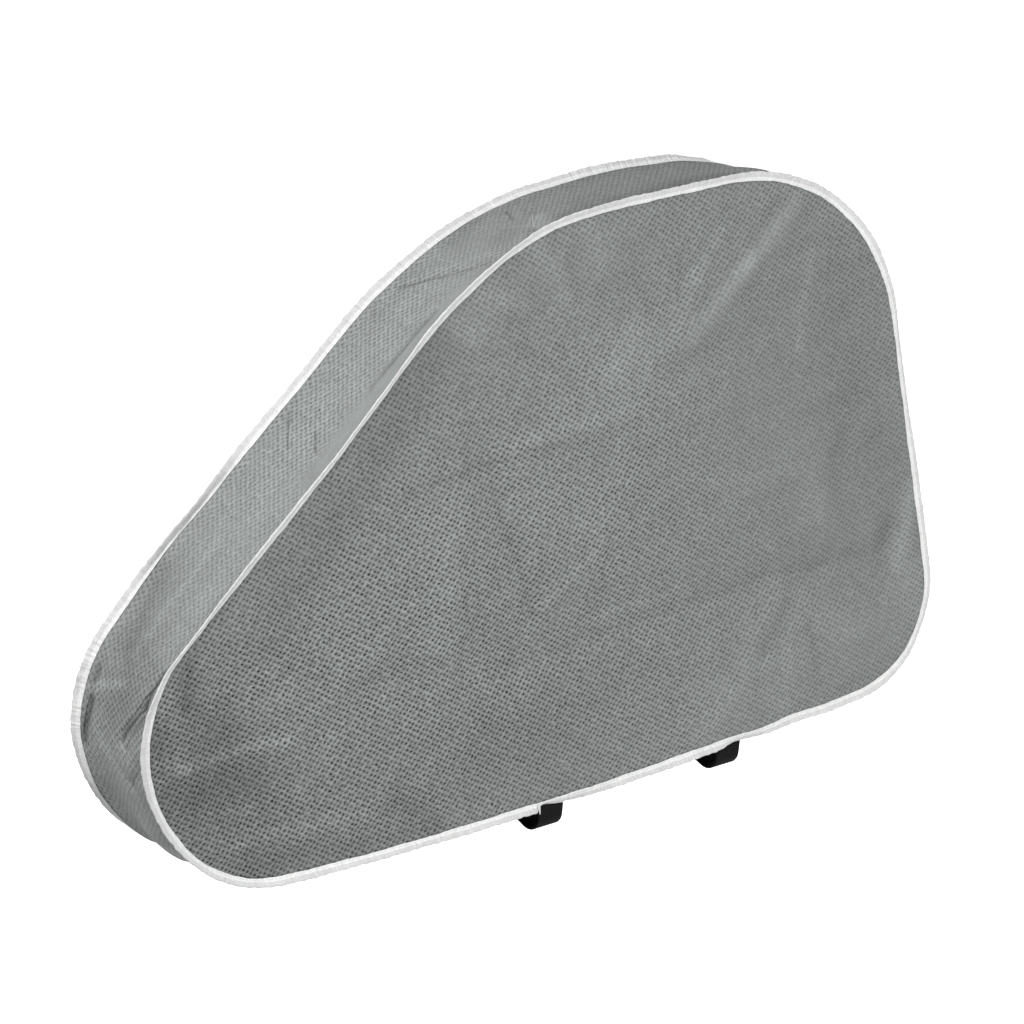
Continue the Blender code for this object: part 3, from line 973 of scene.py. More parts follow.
@dataclass(frozen=True)
class FloorFinish(Finish):
    """A lit white floor without a visible shadow."""

    name: str = "pale studio floor"
    colour: tuple[float, float, float] = (0.80, 0.80, 0.80)
    lift: float = 1.0  # added to what the camera sees of it

    def make(self) -> bpy.types.Material:
        """Return the material."""
        material, sheet, shader = self.start()
        mottle = sheet.noise(sheet.add("ShaderNodeTexCoord").outputs["Object"], 3.0)
        sheet.feed(shader.inputs["Base Color"],
                   sheet.tinted(self.colour, sheet.fit(mottle, 0.02, 0.99)))
        shader.inputs["Roughness"].default_value = 0.9
        glow = sheet.add("ShaderNodeEmission")
        sight = sheet.add("ShaderNodeLightPath").outputs["Is Camera Ray"]
        sheet.feed(glow.inputs["Strength"], sheet.times(sight, self.lift))
        both = sheet.add("ShaderNodeAddShader")
        sheet.feed(both.inputs[0], shader.outputs[0])
        sheet.feed(both.inputs[1], glow.outputs[0])
        leave = material.node_tree.nodes["Material Output"]
        sheet.feed(leave.inputs["Surface"], both.outputs[0])
        return material


# ---------------------------------------------------------------- the cover's pieces


@dataclass
class SidePanel:
    """One shaped side of the cover, from seam to seam, with its folds."""

    name: str
    node: str
    seam: Seam
    folds: tuple[Stroke, ...]
    creases: tuple[Stroke, ...]
    press: tuple[Stroke, ...]
    wear_and_shade: tuple[Stroke, ...]
    finish: bpy.types.Material
    crumple: Crumple = Crumple()
    drift: Drift = Drift()
    mottle: Mottle = Mottle()
    columns: int = 264
    rows: int = 160
    first_round: float = 0.13  # the grid's lower corner at the nose, round the seam
    settling: int = 900  # passes that even the grid out
    fold_fade: float = 0.070  # the big folds die out over this width along the seam
    crease_fade: float = 0.016  # and the small ones over this width
    even_press: float = 0.72  # emboss where no stroke changes it

    def stations(self) -> np.ndarray:
        """Return how far round the seam each vertex of the border is, from the nose's underside."""
        count = 2 * (self.columns + self.rows)
        return self.first_round + np.arange(count) * OUTLINE.length / count

    def _grid(self) -> np.ndarray:
        """Return the panel's places, drawn out from its middle to its border and evened out."""
        border = self.seam.beside(self.stations(), LIP_OUT, LIP_AWAY)
        middle = border.mean(axis=0)
        u, v = np.meshgrid(np.linspace(-1, 1, self.columns + 1), np.linspace(-1, 1, self.rows + 1),
                           indexing="ij")
        ring = np.maximum(np.maximum(abs(u), abs(v)), 1e-9)
        u, v = u / ring, v / ring
        wide, high = self.columns, self.rows
        station = np.where(v <= -1, (u + 1) / 2 * wide, np.where(
            u >= 1, wide + (v + 1) / 2 * high, np.where(
                v >= 1, wide + high + (1 - u) / 2 * wide, 2 * wide + high + (1 - v) / 2 * high)))
        closed = np.vstack([border, border[:1]])
        marks = np.arange(len(closed))
        edge = np.stack([np.interp(station, marks, closed[:, k]) for k in range(3)], axis=-1)
        grid = middle + (edge - middle) * ring[..., None]
        for _ in range(self.settling):
            grid[1:-1, 1:-1] = (grid[:-2, 1:-1] + grid[2:, 1:-1]
                                + grid[1:-1, :-2] + grid[1:-1, 2:]) / 4
        return grid

    def _from_seam(self, grid: np.ndarray) -> np.ndarray:
        """Return how far each place is from the seam."""
        rounds = np.arange(0.0, OUTLINE.length, 0.006)
        line = self.seam.beside(rounds, LIP_OUT, LIP_AWAY)[:, [0, 2]]
        flat = grid.reshape(-1, 3)[:, [0, 2]]
        nearest = [np.sqrt(((part[:, None] - line) ** 2).sum(axis=2).min(axis=1))
                   for part in np.array_split(flat, 60)]
        return np.concatenate(nearest).reshape(grid.shape[:2])

    def build(self) -> bpy.types.Object:
        """Make the panel and put it on the frame."""
        grid = self._grid()
        along, up = grid[..., 0] + MOUNT_ALONG, grid[..., 2] + Gusset.hang()
        miss = self._from_seam(grid)
        drifted = self.drift.moved(along, up)
        height = overall(self.folds, *drifted) * smooth_step(miss / self.fold_fade)
        small = overall(self.creases, *drifted) + self.crumple.over(along, up)
        height += small * smooth_step(miss / self.crease_fade)
        grid[..., 1] += self.seam.side.value * height
        press = np.clip(self.even_press + overall(self.press, *drifted), 0.05, 1.2)
        # tone: painted light and shade, whitened creases and random mottling
        tone = 1.0 + overall(self.wear_and_shade, *drifted) + self.mottle.over(along, up)
        tone = np.clip(tone, 0.55, 1.5)
        lattice = Lattice(grid, np.stack([along, up], axis=-1), {EMBOSS: press, TONE: tone},
                          turned_over=self.seam.side is Side.FAR)
        piece = lattice.make(self.name)
        thicken(piece)
        mount_piece(piece, self.node, self.finish)
        return piece


@dataclass
class Gusset:
    """The long strip between the two seams, from under the nose, over the top, to the heel."""

    finish: bpy.types.Material
    creases: tuple[Stroke, ...]
    press: tuple[Stroke, ...]
    wear_and_shade: tuple[Stroke, ...]
    name: str = "gusset_strip"
    node: str = "gusset"
    crumple: Crumple = Crumple(swell=0.0009, crease=0.0010, seed=9.0)
    drift: Drift = Drift(amount=0.003, size=0.040, seed=6.0)
    mottle: Mottle = Mottle(cloud=0.045, blot=0.03, seed=8.0)
    stations: int = 760
    strands: int = 45
    sag: float = 0.0025
    climb: float = 0.012  # it climbs from its sag to the seams over this width
    even_press: float = 0.50

    @staticmethod
    def hang() -> float:
        """Return how high over the hem the world origin is, under the strip's level top."""
        top = next(corner for corner in OUTLINE.corners if corner.name == "heel high")
        return top.up - Gusset.sag - CLOTH / 2

    @staticmethod
    def length() -> float:
        """Return the strip's length, from the heel's underside to the nose's."""
        start = OUTLINE.bend_start("heel low")
        return OUTLINE.length + OUTLINE.runs[0].length - start

    def build(self) -> bpy.types.Object:
        """Make the strip and put it on the frame."""
        inner = DEPTH / 2 - EDGE
        start = OUTLINE.bend_start("heel low")
        rounds = start + np.linspace(0.0, self.length(), self.stations)
        across = np.linspace(-inner, inner, self.strands)
        near = NEAR.beside(rounds, 0.0, 0.0)[:, None]
        far = FAR.beside(rounds, 0.0, 0.0)[:, None]
        part = (across / DEPTH + 0.5)[None, :, None]
        places = near + (far - near) * part
        _, headings = OUTLINE.at(rounds % OUTLINE.length)
        outward = np.stack([np.sin(headings), np.zeros_like(headings), -np.cos(headings)], axis=1)
        r, y = np.meshgrid(rounds, across, indexing="ij")
        edge = smooth_step((inner - abs(y)) / self.climb)
        drifted = self.drift.moved(r, y)
        rise = overall(self.creases, *drifted) * np.sqrt(np.clip(1 - (y / inner) ** 4, 0, 1))
        rise += (self.crumple.over(r, y) - self.sag) * edge
        places = places + rise[..., None] * outward[:, None]
        press = np.clip(self.even_press + overall(self.press, *drifted), 0.03, 1.2)
        # tone: painted light and shade, whitened creases and random mottling
        tone = 1.0 + overall(self.wear_and_shade, *drifted) + self.mottle.over(r, y)
        tone = np.clip(tone, 0.4, 1.7)
        lattice = Lattice(places, np.stack([r, y], axis=-1), {EMBOSS: press, TONE: tone},
                          turned_over=True)
        piece = lattice.make(self.name)
        thicken(piece)
        mount_piece(piece, self.node, self.finish)
        return piece


@dataclass(frozen=True)
class SectionPoint:
    """A point of the folded tape's section: out from its foot, and its half thickness there."""

    reach: float
    half: float


@dataclass
class Binding:
    """Tape folded over one seam's raw edges, all the way round.

    Its two edges lie on the panel's turned edge and on the gusset, and between them the tape
    stands away from the seam to its fold.
    """

    name: str
    node: str
    seam: Seam
    pucker: tuple[Stroke, ...]
    wear_and_shade: tuple[Stroke, ...]
    finish: bpy.types.Material
    stations: int = 1900
    foot_away: float = 0.0008
    shift: float = 0.0  # sets its unevenness apart from the other seam's
    foot_out: float = 0.0012
    on_panel: float = 0.00145  # away from the seam's corner, just clear of the panel
    on_gusset: float = 0.00115  # out from it, just clear of the gusset
    edge: float = 0.0007  # thickness of the tape's two edges
    bevel: float = 0.0001  # they slope back by this
    full_over: float = 0.0010  # the tape reaches its full thickness this far from its edges
    full: float = 1.4  # its thickness there, in thicknesses of an edge
    least_lap: float = -0.0006  # of its edge over the gusset
    fray: float = 0.00030  # the fold's roughness
    section: tuple[SectionPoint, ...] = table_of(SectionPoint, (  # reach, half
        (0.0016, 0.0011), (0.0023, 0.0008), (0.0030, 0.0010), (0.0041, 0.0012), (0.0055, 0.0011),
        (0.0070, 0.0010), (0.0081, 0.0008), (0.0087, 0.0005), (0.0089, 0.0),
    ))

    def _clear(self, out: np.ndarray, away: np.ndarray) -> tuple[np.ndarray, np.ndarray]:
        """Keep points out of the panel and the gusset, by the shorter way."""
        inside = (out < self.on_gusset) & (away < self.on_panel)
        by_out = self.on_gusset - out < self.on_panel - away
        out = np.where(inside & by_out, self.on_gusset, out)
        away = np.where(inside & ~by_out, self.on_panel, away)
        return out, away

    def _edges(self, rounds: np.ndarray) -> tuple[np.ndarray, np.ndarray, np.ndarray, np.ndarray]:
        """Return out and away of the points of the panel's edge, then of the gusset's edge."""
        level = np.ones_like(rounds)[:, None]
        ragged = Waver(self.fray, self.shift + 3.0, (37, 83, 149, 263)).at(rounds)[:, None]
        lap = eased(self.seam.lap, rounds, "reach")[:, None] + ragged
        lap = np.maximum(lap, self.least_lap)
        lift = self.edge * level
        panel_out = np.hstack([self.on_gusset * level, ragged, ragged + self.bevel,
                               self.full_over + ragged])
        panel_away = self.on_panel + np.hstack([0 * level, 0 * level, lift, lift * self.full])
        gusset_out = self.on_gusset + np.hstack([lift * self.full, lift, 0 * level])
        gusset_away = np.hstack([self.full_over - lap, -lap, -lap - self.bevel])
        return panel_out, panel_away, gusset_out, gusset_away

    def build(self) -> bpy.types.Object:
        """Make the tape and put it on the frame."""
        rounds = np.arange(self.stations) * OUTLINE.length / self.stations
        there = [(point.reach, point.half) for point in self.section]
        back = [(point.reach, -point.half) for point in self.section[-2::-1]]
        reach, half = np.array(there + back).T
        lean = eased(self.seam.lean, rounds, "degrees") + Waver(2.2, self.shift).at(rounds)
        lean = np.radians(lean)[:, None]
        width = 1.0 + Waver(0.045, self.shift + 1.0).at(rounds)[:, None]
        puff = 1.0 + Waver(0.08, self.shift + 2.0).at(rounds)[:, None]
        rough = Waver(self.fray, self.shift + 5.0, (211, 307, 449, 613)).at(rounds)[:, None]
        length = reach * width + rough * (reach / reach.max()) ** 4
        out = self.foot_out + length * np.cos(lean) - half * puff * np.sin(lean)
        away = self.foot_away + length * np.sin(lean) + half * puff * np.cos(lean)
        out, away = self._clear(out, away)
        panel_out, panel_away, gusset_out, gusset_away = self._edges(rounds)
        out = np.hstack([panel_out, out, gusset_out])
        away = np.hstack([panel_away, away, gusset_away])
        to_edge = [self.full_over, 2 * self.bevel, 0.0]
        across = np.concatenate([[0.0], to_edge[::-1], reach, to_edge])
        columns = len(across)
        places = self.seam.beside(np.repeat(rounds, columns), out.ravel(), away.ravel())
        places = places.reshape(self.stations, columns, 3)
        along = np.arange(self.stations + 1) * OUTLINE.length / self.stations
        shut = np.append(across, across[0])
        pattern = np.stack(np.broadcast_arrays(along[:, None], shut[None, :]), axis=-1)
        level = np.zeros_like(rounds)
        pucker = np.clip(overall(self.pucker, rounds, level), 0.0, 1.0)
        # tone: painted shade on the tape
        tone = np.clip(1.0 + overall(self.wear_and_shade, rounds, level), 0.4, 1.3)
        spread = {PUCKER: np.repeat(pucker, columns), TONE: np.repeat(tone, columns)}
        lattice = Lattice(places, pattern, spread, close_columns=True, close_rows=True,
                          turned_over=self.seam.side is Side.FAR)
        piece = lattice.make(self.name)
        if self.seam.side is Side.NEAR:
            self._add_tail(piece)
        mount_piece(piece, self.node, self.finish)
        return piece

    def _add_tail(self, piece: bpy.types.Object) -> None:
        """Join on the cut end of the tape, which hangs down beside the nose strap."""
        tail = TapeTail().build(self.seam)
        pick(piece)
        tail.select_set(True)
        bpy.ops.object.join()
        deselect()


@dataclass(frozen=True)
class TapeTail:
    """The narrow cut end of the near tape, which hangs below the hem."""

    round: float = 0.5545
    length: float = 0.0105
    width: float = 0.0028
    thickness: float = 0.0005
    start: float = 0.0020  # below the seam
    away: float = 0.0032
    stray: float = 0.0012  # its tip hangs this far to one side
    curl: float = 0.0010  # it curls away from the cover by this
    stations: int = 14

    def build(self, seam: Seam) -> bpy.types.Object:
        """Make the tail, a flat strip that narrows and curls to its tip."""
        part = np.linspace(0.0, 1.0, self.stations)[:, None]
        half = self.width / 2 * (1.12 - part) ** 0.8
        sideways = np.hstack([-half, half, half, -half]) + self.stray * part ** 2
        lift = self.thickness / 2 * np.array([[-1.0, -1.0, 1.0, 1.0]])
        away = self.away + lift + self.curl * np.sin(part * 2.6)
        out = np.broadcast_to(self.start + self.length * part, sideways.shape)
        rounds = self.round + sideways
        places = seam.beside(rounds.ravel(), out.ravel(), away.ravel())
        places = places.reshape(self.stations, 4, 3)
        across = np.array([0.0, self.width, self.width, 0.0, 0.0])
        pattern = np.stack(np.broadcast_arrays(self.length * part, across[None, :]), axis=-1)
        plain = {PUCKER: np.zeros(self.stations * 4), TONE: np.ones(self.stations * 4)}
        tail = Lattice(places, pattern, plain, close_rows=True).make("tail")
        close_ends(tail)
        return tail


@dataclass
class Strap:
    """Webbing sewn inside both panels, across the open underside."""

    name: str
    node: str
    along: float  # its middle
    drop: float  # how far it hangs below the hem
    finish: bpy.types.Material
    width: float = 0.0315
    thickness: float = 0.0016
    tilt: float = 0.0006  # its edge by the caravan hangs lower than the other one
    sewn: float = 0.034  # it runs this far up inside the panels
    at_hem: float = 0.0088  # inside the seam, where it clears the rolled tape
    stations: int = 190
    rounding: int = 5  # points over each rounded edge

    def route(self) -> Route:
        """Return the strap's way from the near panel to the far one."""
        at_panel = CLOTH / 2 + 2 * GAP + self.thickness / 2
        return Route((
            Corner("sewn end", at_panel, self.sewn, 0.0),
            Corner("below the stitches", at_panel, 0.013, 0.012),
            Corner("under the hem", self.at_hem, -0.008, 0.012),
            Corner("lowest", 0.0135, -self.drop, 0.018),
            Corner("far rise", DEPTH - self.at_hem, -0.016, 0.016),
            Corner("below the far stitches", DEPTH - at_panel, 0.016, 0.010),
            Corner("far sewn end", DEPTH - at_panel, self.sewn, 0.0),
        ), closed=False)

    def build(self) -> bpy.types.Object:
        """Make the strap and put it on the frame."""
        route = self.route()
        distances = np.linspace(0.0, route.length, self.stations)
        line, headings = route.at(distances)
        half = self.thickness / 2
        turn = np.linspace(-math.pi / 2, math.pi / 2, self.rounding)
        right = np.stack([self.width / 2 - half + half * np.cos(turn), half * np.sin(turn)], axis=1)
        inner = np.linspace(self.width / 2 - half, half - self.width / 2, 9)[1:-1]
        top = np.stack([inner, np.full_like(inner, half)], axis=1)
        section = np.vstack([right, top, -right, -top])
        offset, lift = section.T
        inward = line[:, :1] - lift * np.sin(headings)[:, None]
        up = line[:, 1:] + lift * np.cos(headings)[:, None]
        low = smooth_step(-line[:, 1:] / self.drop)
        up = up - self.tilt * low * offset / self.width
        x = np.broadcast_to(self.along + offset - MOUNT_ALONG, inward.shape)
        places = np.stack([x, inward - DEPTH / 2, up - Gusset.hang()], axis=-1)
        shut = np.append(offset, offset[0])
        pattern = np.stack(np.broadcast_arrays(distances[:, None], shut[None, :]), axis=-1)
        piece = Lattice(places, pattern, close_rows=True).make(self.name)
        close_ends(piece)
        mount_piece(piece, self.node, self.finish)
        return piece


# ---------------------------------------------------------------- the studio


@dataclass(frozen=True)
class SoftLight:
    """A large square softbox."""

    name: str
    place: tuple[float, float, float]
    aim: tuple[float, float, float]
    size: float
    power: float

    def build(self) -> bpy.types.Object:
        """Hang the light and turn it to its aim."""
        data = bpy.data.lights.new(self.name, "AREA")
        data.shape = "SQUARE"
        data.size = self.size
        data.energy = self.power
        light = bpy.data.objects.new(self.name, data)
        bpy.context.scene.collection.objects.link(light)
        light.location = self.place
        light.rotation_euler = (Vector(self.aim) - Vector(self.place)).to_track_quat(
            "-Z", "Y").to_euler()
        return light


@dataclass
class Studio:
    """The floor, the lights and the camera."""

    azimuth: float = -39.0
    elevation: float = 19.7
    distance: float = 4.1017
    lens: float = 147.66
    aim: tuple[float, float, float] = (-0.1861, -0.054, -0.2815)
    floor_height: float = -1.06
    floor_size: float = 120.0
    surround: float = 0.23
    lights: tuple[SoftLight, ...] = (
        SoftLight("key", (-1.25, -0.35, 0.80), (-0.42, 0.0, -0.18), 0.9, 22.0),
        SoftLight("front fill", (0.95, -2.0, 0.05), (0.10, 0.0, -0.30), 1.2, 25.0),
        SoftLight("back fill", (0.60, 2.10, 0.70), (0.0, 0.0, -0.30), 1.4, 16.0),
    )

    def build(self) -> None:
        """Set up the whole studio."""
        self._floor()
        for light in self.lights:
            light.build()
        self._surround()
        self._camera()

    def _floor(self) -> None:
        """Lay the floor."""
        deselect()
        bpy.ops.mesh.primitive_plane_add(size=self.floor_size,
                                         location=(0.0, 0.0, self.floor_height))
        floor = bpy.context.active_object
        floor.name = "studio_floor"
        floor.data.materials.append(FloorFinish().make())
        deselect()

    def _surround(self) -> None:
        """Fill the room with even light that the camera sees as white."""
        world = bpy.data.worlds.new("pale room")
        bpy.context.scene.world = world
        world.use_nodes = True
        sheet = NodeSheet(world.node_tree)
        back = world.node_tree.nodes["Background"]
        back.inputs["Color"].default_value = (0.97, 1.0, 0.99, 1.0)
        sight = sheet.add("ShaderNodeLightPath").outputs["Is Camera Ray"]
        strength = sheet.fit(sight, 1.1 - self.surround, self.surround)
        sheet.feed(back.inputs["Strength"], strength)

    def _camera(self) -> None:
        """Set the camera up at its angle and make it the scene's own."""
        turn, tilt = math.radians(self.azimuth), math.radians(self.elevation)
        back = Vector((math.sin(turn) * math.cos(tilt), -math.cos(turn) * math.cos(tilt),
                       math.sin(tilt)))
        data = bpy.data.cameras.new("studio camera")
        data.lens = self.lens
        data.sensor_width = 36.0
        data.clip_start = 0.05
        data.clip_end = 200.0
        camera = bpy.data.objects.new("studio camera", data)
        bpy.context.scene.collection.objects.link(camera)
        camera.location = Vector(self.aim) + back * self.distance
        camera.rotation_euler = (-back).to_track_quat("-Z", "Y").to_euler()
        bpy.context.scene.camera = camera
        bpy.context.scene.view_settings.view_transform = "Standard"


# ---------------------------------------------------------------- folds, whitened creases and painted light and shade of this cover

# Each row is a stroke's name, its two ends as along and up, its half width and its amount. On the
# gusset and the tapes an end is given as how far round the seam it is and how far across.

NEAR_FOLDS = table_of(Stroke, (
    ("crease from the heel corner", 0.8, 0.56, 0.655, 0.455, 0.02, 0.004),
    ("swelling under the crease", 0.585, 0.45, 0.5, 0.41, 0.036, 0.004),
    ("trough over the hem", 0.93, 0.168, 0.4, 0.165, 0.04, -0.0042),
    ("flare of the heel", 0.92, 0.09, 0.7, 0.03, 0.05, 0.005),
    ("slack behind the nose", 0.07, 0.24, 0.1, 0.1, 0.04, -0.0055),
    ("slack over the nose hem", 0.13, 0.04, 0.34, 0.02, 0.03, -0.003),
    ("slack at the middle", 0.4, 0.38, 0.458, 0.21, 0.026, -0.003),
    ("swelling at the left", 0.35, 0.3, 0.34, 0.2, 0.03, 0.003),
    ("slack at the caravan end", 0.87, 0.46, 0.9, 0.26, 0.04, -0.003),
    ("swelling before it", 0.825, 0.31, 0.85, 0.2, 0.022, 0.003),
    ("belly of the cloth", 0.3, 0.28, 0.62, 0.33, 0.11, 0.004),
))
NEAR_CREASES = table_of(Stroke, (
    ("crease from the heel corner", 0.804, 0.57, 0.735, 0.515, 0.012, 0.0013),
    ("end of the crease", 0.735, 0.515, 0.658, 0.452, 0.013, 0.0018),
    ("fine line over it", 0.704, 0.559, 0.665, 0.515, 0.006, 0.0009, Form.STEP),
    ("foot of the fine line", 0.665, 0.515, 0.615, 0.44, 0.009, 0.001, Form.STEP),
    ("streak to the middle", 0.607, 0.406, 0.41, 0.388, 0.012, 0.0008, Form.STEP),
    ("level crease at the middle", 0.55, 0.377, 0.41, 0.38, 0.007, -0.0006, Form.STEP),
    ("end of the level crease", 0.41, 0.38, 0.3, 0.366, 0.008, -0.0005, Form.STEP),
    ("upright crease", 0.402, 0.38, 0.432, 0.285, 0.008, -0.0012),
    ("foot of the upright crease", 0.432, 0.285, 0.46, 0.208, 0.008, -0.0014),
    ("rise from its foot", 0.47, 0.212, 0.545, 0.258, 0.009, 0.0011),
    ("valley to the nose", 0.486, 0.162, 0.262, 0.186, 0.02, -0.002),
    ("valley to the caravan end", 0.93, 0.166, 0.7, 0.171, 0.01, -0.0013),
    ("middle of the valley", 0.7, 0.171, 0.486, 0.16, 0.012, -0.001),
    ("end of the valley", 0.262, 0.186, 0.198, 0.154, 0.018, -0.0016),
    ("heel fold", 0.79, 0.145, 0.69, 0.012, 0.012, 0.0024),
    ("second heel fold", 0.9, 0.13, 0.83, 0.06, 0.012, 0.002),
    ("third heel fold", 0.8, 0.095, 0.803, 0.015, 0.009, 0.0018),
    ("hollow between them", 0.768, 0.085, 0.798, 0.13, 0.009, -0.0016),
    ("small hollow", 0.83, 0.105, 0.843, 0.055, 0.009, -0.0016),
    ("line at the heel", 0.895, 0.145, 0.93, 0.1, 0.005, -0.0008),
    ("shoulder fold", 0.36, 0.515, 0.4, 0.5, 0.011, 0.0016),
    ("second shoulder fold", 0.395, 0.55, 0.445, 0.525, 0.011, 0.0016),
    ("third shoulder fold", 0.465, 0.58, 0.503, 0.525, 0.011, 0.0016),
    ("fourth shoulder fold", 0.525, 0.595, 0.55, 0.535, 0.011, 0.0015),
    ("dent by the caravan end", 0.875, 0.31, 0.868, 0.24, 0.014, -0.0018),
    ("flat at the caravan end", 0.978, 0.235, 0.965, 0.135, 0.016, 0.0024),
    ("dent beside it", 0.946, 0.2, 0.932, 0.155, 0.011, -0.0018),
    ("nose crease", 0.012, 0.166, 0.04, 0.15, 0.006, 0.0012),
    ("end of the nose crease", 0.04, 0.15, 0.165, 0.15, 0.006, 0.0011),
    ("rise from the nose crease", 0.165, 0.15, 0.3, 0.246, 0.01, 0.001),
    ("dent at the nose", 0.047, 0.262, 0.046, 0.212, 0.01, -0.002),
    ("second dent at the nose", 0.012, 0.205, 0.016, 0.175, 0.01, -0.0014),
    ("strip over the nose hem", 0.072, 0.058, 0.26, 0.048, 0.012, 0.0018),
    ("pull at the left", 0.13, 0.205, 0.185, 0.27, 0.006, 0.0008, Form.STEP),
    ("line under the heel corner", 0.869, 0.453, 0.843, 0.424, 0.006, 0.0008, Form.STEP),
    ("short pull", 0.435, 0.49, 0.52, 0.43, 0.005, 0.0007, Form.STEP),
))
NEAR_PRESS = table_of(Stroke, (
    ("all over the nose", 0.05, 0.16, 0.26, 0.1, 0.13, 0.2),
    ("nose", 0.02, 0.12, 0.26, 0.15, 0.13, 0.55),
    ("lower middle", 0.35, 0.1, 0.6, 0.08, 0.1, 0.26),
    ("middle", 0.3, 0.3, 0.55, 0.3, 0.14, 0.26),
    ("heel corner", 0.72, 0.56, 0.9, 0.45, 0.1, -0.12),
    ("shoulder", 0.36, 0.52, 0.56, 0.56, 0.05, -0.22),
    ("caravan end", 0.97, 0.3, 0.95, 0.1, 0.08, -0.16),
    ("before the caravan end", 0.76, 0.36, 0.86, 0.22, 0.09, -0.24),
    ("heel", 0.72, 0.05, 0.92, 0.07, 0.07, -0.16),
    ("drawn flat by the crease", 0.79, 0.56, 0.655, 0.455, 0.016, -0.25),
))
